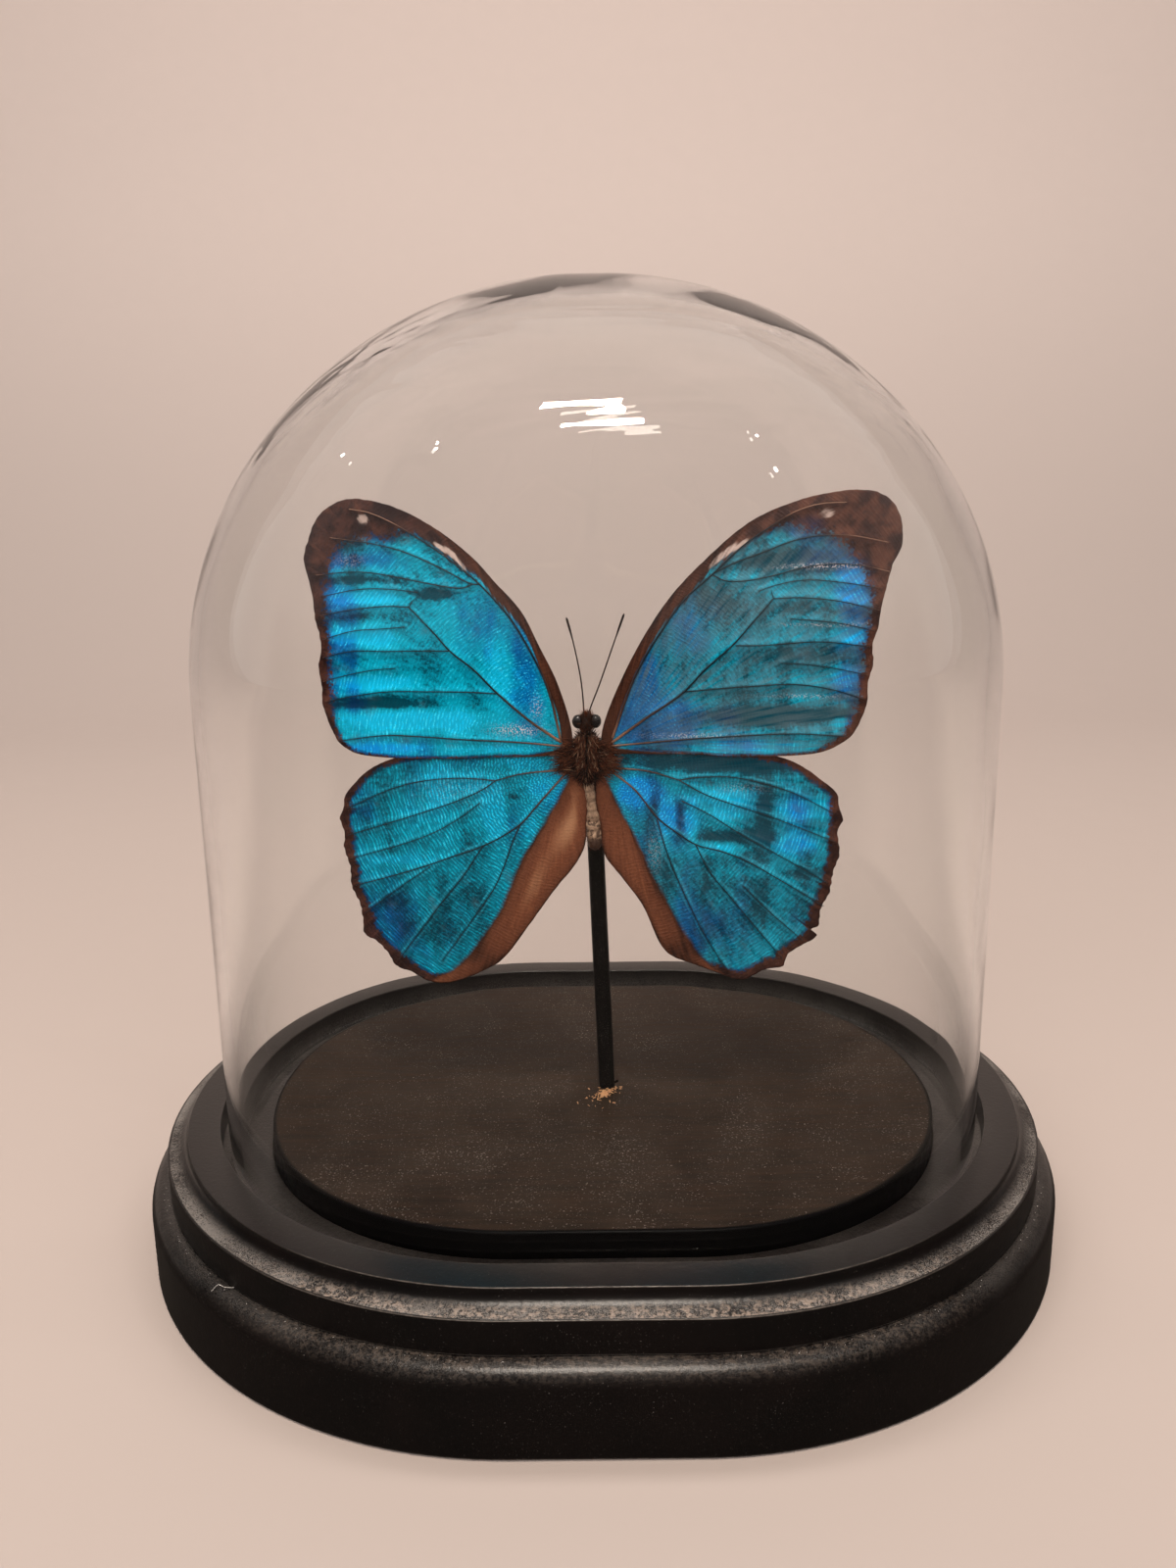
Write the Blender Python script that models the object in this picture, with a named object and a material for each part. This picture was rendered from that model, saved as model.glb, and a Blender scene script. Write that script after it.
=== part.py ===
"""Mounted blue butterfly under an oval glass dome on a black moulded wooden base.

Units are metres, +Z is up, +Y points to the back. The origin is at the middle of the
base's underside. Every plan of the base and of the dome is a racetrack: two half circles
joined by straight sides, so a plan is given by one radius, and all plans share the same
half length between the centres of their end circles.
"""

import math

import bmesh
import bpy
from mathutils import Vector

MM = 0.001
GAP = 0.3 * MM  # between pieces that touch

# Plans of the base and dome, as radii of their racetracks.
HALF_STRAIGHT = 16.0 * MM
PLINTH_RADIUS = 82.0 * MM
COLLAR_RADIUS = 78.1 * MM
RIM_RADIUS = 73.9 * MM
POCKET_RADIUS = 67.2 * MM
GLASS_RADIUS = 65.6 * MM
DECK_RADIUS = 56.8 * MM
ARC_STEPS = 18

# Heights of the base, from the underside up.
PLINTH_TOP = 16.4 * MM
PLINTH_ROUND = 3.8 * MM
FOOT_CHAMFER = 0.8 * MM
COVE_FOOT = 23.3 * MM
RIM_TOP = 26.4 * MM
POCKET_FLOOR = 21.0 * MM
DECK_TOP = 25.9 * MM
DECK_CHAMFER = 0.5 * MM
ROUND_STEPS = 4

# Glass dome: a straight wall under an elliptical crown.
GLASS_WALL = 2.4 * MM
SPRING_HEIGHT = 117.6 * MM
DOME_TOP = 196.1 * MM
CROWN_STEPS = 10

# Rod: set in a blind hole of the deck, leaning to the left, its top at the thorax.
ROD_RADIUS = 1.8 * MM
ROD_FOOT = Vector((1.6, -1.2, 20.0)) * MM
ROD_TOP = Vector((-0.9, -0.3, 101.0)) * MM
ROD_SIDES = 16
HOLE_CLEARANCE = 0.3 * MM

# Body: three ellipsoids and a tapering abdomen on one axis that leans to the left.
THORAX_CENTRE = Vector((-1.9, -5.2, 102.2)) * MM
THORAX_RADII = Vector((2.7, 2.7, 5.2)) * MM
HEAD_CENTRE = Vector((-1.95, -5.4, 109.4)) * MM
HEAD_RADII = Vector((1.7, 1.6, 1.6)) * MM
EYE_OFFSET = 1.75 * MM
EYE_RADIUS = 1.2 * MM
ABDOMEN_TOP = Vector((-1.3, -4.7, 96.6)) * MM
ABDOMEN_END = Vector((-0.5, -4.3, 82.0)) * MM
ABDOMEN_RADIUS = 1.7 * MM
ABDOMEN_RINGS = 10

ANTENNA_RADIUS = 0.22 * MM
CLUB_SWELLING = 1.9
ANTENNA_STEPS = 14
ANTENNA_LEFT = ((-2.4, -5.5, 111.5), (-2.9, -5.9, 118.0), (-4.4, -6.3, 126.0), (-5.7, -6.5, 131.0))
ANTENNA_RIGHT = ((-1.3, -5.5, 111.5), (0.9, -6.0, 117.5), (3.9, -6.4, 126.0), (5.9, -6.6, 131.6))

# Wings: thin plates in one upright plane that is turned a little towards the right.
WING_THICKNESS = 0.4 * MM
WING_TURN = 0.105  # rise of -Y for each step along X
WING_AXIS_X = -1.9 * MM
FOREWING_Y = -6.5 * MM
HINDWING_Y = -5.4 * MM
POINTS_PER_SPAN = 3

FOREWING_LEFT = (
    (-6.0, 102.8), (-5.6, 108.5), (-7.8, 117.0), (-15.0, 132.5), (-25.0, 143.5), (-37.5, 152.5),
    (-49.5, 155.5), (-57.0, 152.0), (-60.5, 144.0), (-58.5, 135.5), (-57.0, 125.5), (-57.5, 113.0),
    (-54.0, 104.5), (-46.0, 102.0), (-30.0, 102.0),
)
FOREWING_RIGHT = (
    (2.2, 102.8), (2.4, 109.0), (7.2, 122.0), (14.5, 134.0), (29.5, 148.5), (40.0, 153.0),
    (50.5, 155.3), (57.5, 153.5), (60.3, 148.0), (58.0, 140.0), (55.8, 130.0), (54.8, 119.0),
    (54.0, 112.0), (48.5, 104.3), (41.5, 103.0), (24.5, 102.8),
)
HINDWING_LEFT = (
    (-6.2, 100.6), (-20.0, 103.6), (-36.0, 103.4), (-43.5, 101.5), (-51.0, 97.0), (-55.2, 88.0),
    (-54.5, 77.0), (-51.8, 63.0), (-46.0, 56.0), (-37.0, 51.3), (-24.5, 55.5), (-15.0, 65.5),
    (-5.2, 78.5), (-4.1, 84.0), (-5.6, 94.0),
)
HINDWING_RIGHT = (
    (2.4, 100.6), (16.0, 104.0), (32.0, 104.2), (42.0, 100.5), (49.2, 94.0), (50.0, 84.0),
    (47.3, 73.0), (45.0, 63.5), (38.0, 57.0), (28.5, 54.0), (16.0, 58.8), (9.0, 70.5),
    (3.4, 78.5), (2.3, 84.0), (2.2, 94.0),
)


def clear_scene():
    for obj in list(bpy.data.objects):
        bpy.data.objects.remove(obj, do_unlink=True)


def material(name, color, roughness, metallic=0.0, transmission=0.0):
    made = bpy.data.materials.new(name)
    made.use_nodes = True
    shader = made.node_tree.nodes["Principled BSDF"]
    shader.inputs["Base Color"].default_value = (*color, 1.0)
    shader.inputs["Roughness"].default_value = roughness
    shader.inputs["Metallic"].default_value = metallic
    shader.inputs["Transmission Weight"].default_value = transmission
    return made


def object_from(name, mesh_edit, finish, smooth_angle=math.radians(35)):
    """Turns a bmesh into a named object with one material, shaded smooth up to an angle."""
    bmesh.ops.recalc_face_normals(mesh_edit, faces=mesh_edit.faces)
    mesh = bpy.data.meshes.new(name)
    mesh_edit.to_mesh(mesh)
    mesh_edit.free()
    mesh.materials.append(finish)
    mesh.shade_smooth()
    mesh.set_sharp_from_angle(angle=smooth_angle)
    obj = bpy.data.objects.new(name, mesh)
    bpy.context.scene.collection.objects.link(obj)
    return obj


def racetrack(radius, half_straight=HALF_STRAIGHT):
    """Points round a racetrack, counter-clockwise from the right-hand end's lower corner."""
    points = []
    for centre_x, start in ((half_straight, -math.pi / 2), (-half_straight, math.pi / 2)):
        for step in range(ARC_STEPS + 1):
            angle = start + math.pi * step / ARC_STEPS
            points.append((centre_x + radius * math.cos(angle), radius * math.sin(angle)))
    return points


def ring(mesh_edit, radius, height, scale=1.0):
    """A loop of vertices on the racetrack of this radius, shrunk about the axis by scale."""
    return [
        mesh_edit.verts.new((x * scale, y * scale, height))
        for x, y in racetrack(radius, HALF_STRAIGHT)
    ]


def bridge(mesh_edit, lower, upper):
    count = len(lower)
    for i in range(count):
        j = (i + 1) % count
        mesh_edit.faces.new((lower[i], lower[j], upper[j], upper[i]))


def capped_racetrack(name, profile, finish):
    """A solid turned round the racetrack from (radius, height) points, closed by flat caps."""
    mesh_edit = bmesh.new()
    rings = [ring(mesh_edit, radius, height) for radius, height in profile]
    for lower, upper in zip(rings, rings[1:]):
        bridge(mesh_edit, lower, upper)
    mesh_edit.faces.new(rings[0][::-1])
    mesh_edit.faces.new(rings[-1])
    return object_from(name, mesh_edit, finish)


def hollow_racetrack(name, profile, finish):
    """A closed section of (radius, height) points carried once round the racetrack."""
    mesh_edit = bmesh.new()
    rings = [ring(mesh_edit, radius, height) for radius, height in profile]
    for index, lower in enumerate(rings):
        bridge(mesh_edit, lower, rings[(index + 1) % len(rings)])
    return object_from(name, mesh_edit, finish)


def quarter(start, end, hollow, steps=ROUND_STEPS):
    """Points of a quarter ellipse from start to end, hollow or full, without its first point.

    A full quarter leaves start upwards and arrives at end level; a hollow one does the reverse.
    """
    points = []
    for step in range(1, steps + 1):
        angle = math.pi / 2 * step / steps
        along, across = math.sin(angle), 1.0 - math.cos(angle)
        r_part, z_part = (along, across) if hollow else (across, along)
        points.append((start[0] + (end[0] - start[0]) * r_part, start[1] + (end[1] - start[1]) * z_part))
    return points


def make_plinth(finish):
    shoulder = (PLINTH_RADIUS, PLINTH_TOP - PLINTH_ROUND)
    profile = [(PLINTH_RADIUS - FOOT_CHAMFER, 0.0), (PLINTH_RADIUS, FOOT_CHAMFER), shoulder]
    profile += quarter(shoulder, (COLLAR_RADIUS - GAP, PLINTH_TOP), hollow=False)
    return capped_racetrack("base_plinth", profile, finish)


def make_collar(finish):
    """A ring whose inner edge is rebated: the dome stands in the pocket, the deck fills the middle."""
    bottom = PLINTH_TOP + GAP
    inner = DECK_RADIUS + GAP
    cove_foot = (COLLAR_RADIUS, COVE_FOOT)
    profile = [(inner, bottom), (COLLAR_RADIUS, bottom), cove_foot]
    profile += quarter(cove_foot, (RIM_RADIUS, RIM_TOP), hollow=True)
    profile += [(POCKET_RADIUS, RIM_TOP), (POCKET_RADIUS, POCKET_FLOOR), (inner, POCKET_FLOOR)]
    return hollow_racetrack("base_collar", profile, finish)


def make_deck(finish):
    """The raised oval board inside the collar, with a blind hole for the rod."""
    profile = [
        (DECK_RADIUS, PLINTH_TOP + GAP),
        (DECK_RADIUS, DECK_TOP - DECK_CHAMFER),
        (DECK_RADIUS - DECK_CHAMFER, DECK_TOP),
    ]
    deck = capped_racetrack("deck", profile, finish)
    drill = make_rod_solid("deck_drill", ROD_RADIUS + HOLE_CLEARANCE, ROD_FOOT.z - GAP, finish)
    drill.hide_render = True
    drill.display_type = "WIRE"
    cut = deck.modifiers.new("rod_hole", "BOOLEAN")
    cut.object = drill
    cut.operation = "DIFFERENCE"
    return deck


def make_rod_solid(name, radius, foot_height, finish):
    """A round bar on the rod's axis, from foot_height up to the rod's top."""
    axis = ROD_TOP - ROD_FOOT
    foot = ROD_FOOT + axis * ((foot_height - ROD_FOOT.z) / axis.z)
    mesh_edit = bmesh.new()
    rings = []
    for centre in (foot, ROD_TOP):
        loop = []
        for side in range(ROD_SIDES):
            angle = 2 * math.pi * side / ROD_SIDES
            offset = Vector((radius * math.cos(angle), radius * math.sin(angle), 0.0))
            loop.append(mesh_edit.verts.new(centre + offset))
        rings.append(loop)
    bridge(mesh_edit, *rings)
    mesh_edit.faces.new(rings[0][::-1])
    mesh_edit.faces.new(rings[1])
    return object_from(name, mesh_edit, finish)


def make_rod(finish):
    return make_rod_solid("rod", ROD_RADIUS, ROD_FOOT.z, finish)


def dome_wall(mesh_edit, inset):
    """Rings of one face of the glass, from the foot to the pole, set in by inset."""
    radius = GLASS_RADIUS - inset
    crown = DOME_TOP - SPRING_HEIGHT - inset
    rings = [ring(mesh_edit, radius, POCKET_FLOOR + GAP)]
    for step in range(CROWN_STEPS):
        angle = math.pi / 2 * step / CROWN_STEPS
        height = SPRING_HEIGHT + crown * math.sin(angle)
        rings.append(ring(mesh_edit, radius, height, math.cos(angle)))
    return rings, mesh_edit.verts.new((0.0, 0.0, SPRING_HEIGHT + crown))


def make_dome(finish):
    """A shell open at its foot: an outer and an inner face joined by a flat rim."""
    mesh_edit = bmesh.new()
    outer, outer_pole = dome_wall(mesh_edit, 0.0)
    inner, inner_pole = dome_wall(mesh_edit, GLASS_WALL)
    for rings, pole in ((outer, outer_pole), (inner, inner_pole)):
        for lower, upper in zip(rings, rings[1:]):
            bridge(mesh_edit, lower, upper)
        for start, end in zip(rings[-1], rings[-1][1:] + rings[-1][:1]):
            mesh_edit.faces.new((start, end, pole))
    bridge(mesh_edit, inner[0], outer[0])
    return object_from("glass_dome", mesh_edit, finish)


def ellipsoid(mesh_edit, centre, radii, segments=16, rings=10):
    made = bmesh.ops.create_uvsphere(mesh_edit, u_segments=segments, v_segments=rings, radius=1.0)
    bmesh.ops.scale(mesh_edit, vec=radii, verts=made["verts"])
    bmesh.ops.translate(mesh_edit, vec=centre, verts=made["verts"])


def make_thorax(finish):
    mesh_edit = bmesh.new()
    ellipsoid(mesh_edit, THORAX_CENTRE, THORAX_RADII)
    return object_from("thorax", mesh_edit, finish)


def make_head(finish):
    """A round head with its two bead-like eyes grown on it."""
    mesh_edit = bmesh.new()
    ellipsoid(mesh_edit, HEAD_CENTRE, HEAD_RADII, 14, 9)
    head = object_from("head", mesh_edit, finish)
    for side, name in ((-1, "eye_left"), (1, "eye_right")):
        eye_edit = bmesh.new()
        centre = HEAD_CENTRE + Vector((side * EYE_OFFSET, -0.3 * MM, 0.3 * MM))
        ellipsoid(eye_edit, centre, Vector((EYE_RADIUS, EYE_RADIUS, EYE_RADIUS)), 12, 8)
        eye = object_from(name, eye_edit, finish)
        eye.hide_render = True
        eye.display_type = "WIRE"
        join = head.modifiers.new(name, "BOOLEAN")
        join.object = eye
        join.operation = "UNION"
    return head


def tube(mesh_edit, centres, radii, sides):
    """A round tube through the centres, closed by a point at each end."""
    rings = []
    for index, centre in enumerate(centres[1:-1], start=1):
        along = (centres[index + 1] - centres[index - 1]).normalized()
        side_axis = along.cross(Vector((0.0, 1.0, 0.0))).normalized()
        front_axis = side_axis.cross(along)
        loop = []
        for side in range(sides):
            angle = 2 * math.pi * side / sides
            offset = side_axis * math.cos(angle) + front_axis * math.sin(angle)
            loop.append(mesh_edit.verts.new(centre + offset * radii[index]))
        rings.append(loop)
    for lower, upper in zip(rings, rings[1:]):
        bridge(mesh_edit, lower, upper)
    for loop, end in ((rings[0], centres[0]), (rings[-1], centres[-1])):
        tip = mesh_edit.verts.new(end)
        for start, stop in zip(loop, loop[1:] + loop[:1]):
            mesh_edit.faces.new((start, stop, tip))


def make_abdomen(finish):
    """A slender body that keeps its width and closes in a blunt end."""
    centres = []
    radii = []
    for step in range(ABDOMEN_RINGS + 1):
        share = (1.0 - math.cos(math.pi * step / ABDOMEN_RINGS)) / 2
        centres.append(ABDOMEN_TOP.lerp(ABDOMEN_END, share))
        radii.append(ABDOMEN_RADIUS * (1.0 - abs(2 * share - 1) ** 5) ** 0.5)
    mesh_edit = bmesh.new()
    tube(mesh_edit, centres, radii, 14)
    return object_from("abdomen", mesh_edit, finish)


def spline_point(before, start, end, after, share):
    """Catmull-Rom point between start and end."""
    square, cube = share * share, share * share * share
    return 0.5 * (
        2 * start
        + (end - before) * share
        + (2 * before - 5 * start + 4 * end - after) * square
        + (3 * start - before - 3 * end + after) * cube
    )


def smooth_path(points, closed, steps):
    """Points of a smooth curve through the given ones, steps to each span."""
    count = len(points)
    made = []
    for index in range(count if closed else count - 1):
        near = [index - 1, index, index + 1, index + 2]
        near = [i % count if closed else min(max(i, 0), count - 1) for i in near]
        spans = [points[i] for i in near]
        made += [spline_point(*spans, step / steps) for step in range(steps)]
    return made if closed else made + [points[-1]]


def make_antenna(name, route, finish):
    """A thin feeler that swells into a slim club over its last quarter."""
    path = smooth_path([Vector(point) * MM for point in route], closed=False, steps=ANTENNA_STEPS // 3)
    last = len(path) - 1
    radii = []
    for index in range(last + 1):
        club = max(0.0, (index / last - 0.75) / 0.25)
        radii.append(ANTENNA_RADIUS * (1.0 + (CLUB_SWELLING - 1.0) * math.sin(math.pi * club / 1.3)))
    mesh_edit = bmesh.new()
    tube(mesh_edit, path, radii, 8)
    return object_from(name, mesh_edit, finish)


def make_wing(name, outline, plane_y, finish):
    """A flat plate of the outline's shape, its plane turned about the body's axis."""
    corners = [Vector((x, 0.0, z)) * MM for x, z in outline]
    edge = smooth_path(corners, closed=True, steps=POINTS_PER_SPAN)
    mesh_edit = bmesh.new()
    faces = []
    for offset in (-WING_THICKNESS / 2, WING_THICKNESS / 2):
        loop = []
        for point in edge:
            y = plane_y - WING_TURN * (point.x - WING_AXIS_X) + offset
            loop.append(mesh_edit.verts.new((point.x, y, point.z)))
        faces.append(loop)
    bridge(mesh_edit, *faces)
    mesh_edit.faces.new(faces[0][::-1])
    mesh_edit.faces.new(faces[1])
    bmesh.ops.triangulate(mesh_edit, faces=[face for face in mesh_edit.faces if len(face.verts) > 4])
    return object_from(name, mesh_edit, finish)


def main():
    clear_scene()
    black_wood = material("black_wood", (0.012, 0.011, 0.010), 0.38)
    deck_wood = material("deck_wood", (0.035, 0.026, 0.021), 0.32)
    glass = material("glass", (1.0, 1.0, 1.0), 0.0, transmission=1.0)
    rod_black = material("rod_black", (0.010, 0.012, 0.014), 0.5)
    body_fur = material("body_fur", (0.07, 0.03, 0.018), 0.85)
    body_dry = material("body_dry", (0.42, 0.30, 0.22), 0.7)
    feeler = material("feeler", (0.03, 0.02, 0.015), 0.5)
    wing_blue = material("wing_blue", (0.01, 0.35, 0.65), 0.35, metallic=0.4)

    make_plinth(black_wood)
    make_collar(black_wood)
    make_deck(deck_wood)
    make_dome(glass)
    make_rod(rod_black)
    make_thorax(body_fur)
    make_head(body_fur)
    make_abdomen(body_dry)
    make_antenna("antenna_left", ANTENNA_LEFT, feeler)
    make_antenna("antenna_right", ANTENNA_RIGHT, feeler)
    make_wing("forewing_left", FOREWING_LEFT, FOREWING_Y, wing_blue)
    make_wing("forewing_right", FOREWING_RIGHT, FOREWING_Y, wing_blue)
    make_wing("hindwing_left", HINDWING_LEFT, HINDWING_Y, wing_blue)
    make_wing("hindwing_right", HINDWING_RIGHT, HINDWING_Y, wing_blue)


main()
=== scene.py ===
"""Mounted blue butterfly under an oval glass dome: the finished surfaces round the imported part.

Run as a script, it loads the part, makes every finished piece with the operators below, sets
up the stage and hands the scene back. Lengths inside are metres; outlines of the insect are
written in millimetres in its upright plane, as (x, z), and are turned to metres on use.
"""

import math

import bmesh
import bpy
import numpy as np
from bpy.props import FloatProperty, FloatVectorProperty, IntProperty, PointerProperty
from mathutils import Matrix, Vector


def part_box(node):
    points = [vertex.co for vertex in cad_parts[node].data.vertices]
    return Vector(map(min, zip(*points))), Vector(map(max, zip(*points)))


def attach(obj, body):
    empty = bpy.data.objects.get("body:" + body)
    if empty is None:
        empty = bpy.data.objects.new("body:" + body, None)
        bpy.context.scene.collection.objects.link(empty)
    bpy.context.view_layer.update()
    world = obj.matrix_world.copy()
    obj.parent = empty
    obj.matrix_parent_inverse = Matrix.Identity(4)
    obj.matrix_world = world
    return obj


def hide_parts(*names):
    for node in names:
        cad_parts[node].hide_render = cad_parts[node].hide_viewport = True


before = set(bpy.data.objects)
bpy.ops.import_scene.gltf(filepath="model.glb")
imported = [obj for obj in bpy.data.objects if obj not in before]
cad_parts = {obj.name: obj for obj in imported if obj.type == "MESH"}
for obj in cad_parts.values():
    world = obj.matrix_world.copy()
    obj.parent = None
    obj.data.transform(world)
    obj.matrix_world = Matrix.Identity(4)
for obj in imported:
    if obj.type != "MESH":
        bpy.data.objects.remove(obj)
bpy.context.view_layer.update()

bl_info = {
    "name": "Mounted butterfly dome",
    "version": (1, 0, 0),
    "blender": (4, 5, 0),
    "location": "View3D > Sidebar > Specimen",
    "description": "Makes a mounted blue butterfly, its moulded base and its glass dome",
    "category": "Add Mesh",
}

MM = 0.001
BODY = "root"

_, PLINTH_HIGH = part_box("base_plinth")
COLLAR_LOW, COLLAR_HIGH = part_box("base_collar")
DECK_LOW, DECK_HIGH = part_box("deck")
DOME_LOW, DOME_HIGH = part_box("glass_dome")
ROD_LOW, ROD_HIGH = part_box("rod")
THORAX_LOW, THORAX_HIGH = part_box("thorax")
HEAD_LOW, HEAD_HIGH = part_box("head")
ABDOMEN_LOW, ABDOMEN_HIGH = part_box("abdomen")
HALF_STRAIGHT = PLINTH_HIGH.x - PLINTH_HIGH.y

# The wings' sheet is turned about an upright line: its turn in radians, the line's x in mm, and
# the y in mm of each pair of wings at that line.
WING_TURN = 0.105
WING_AXIS = -1.9
FOREWING_Y = -6.5
HINDWING_Y = -5.4


# ---------------------------------------------------------------- the insect's outlines and colouring, in mm

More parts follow.
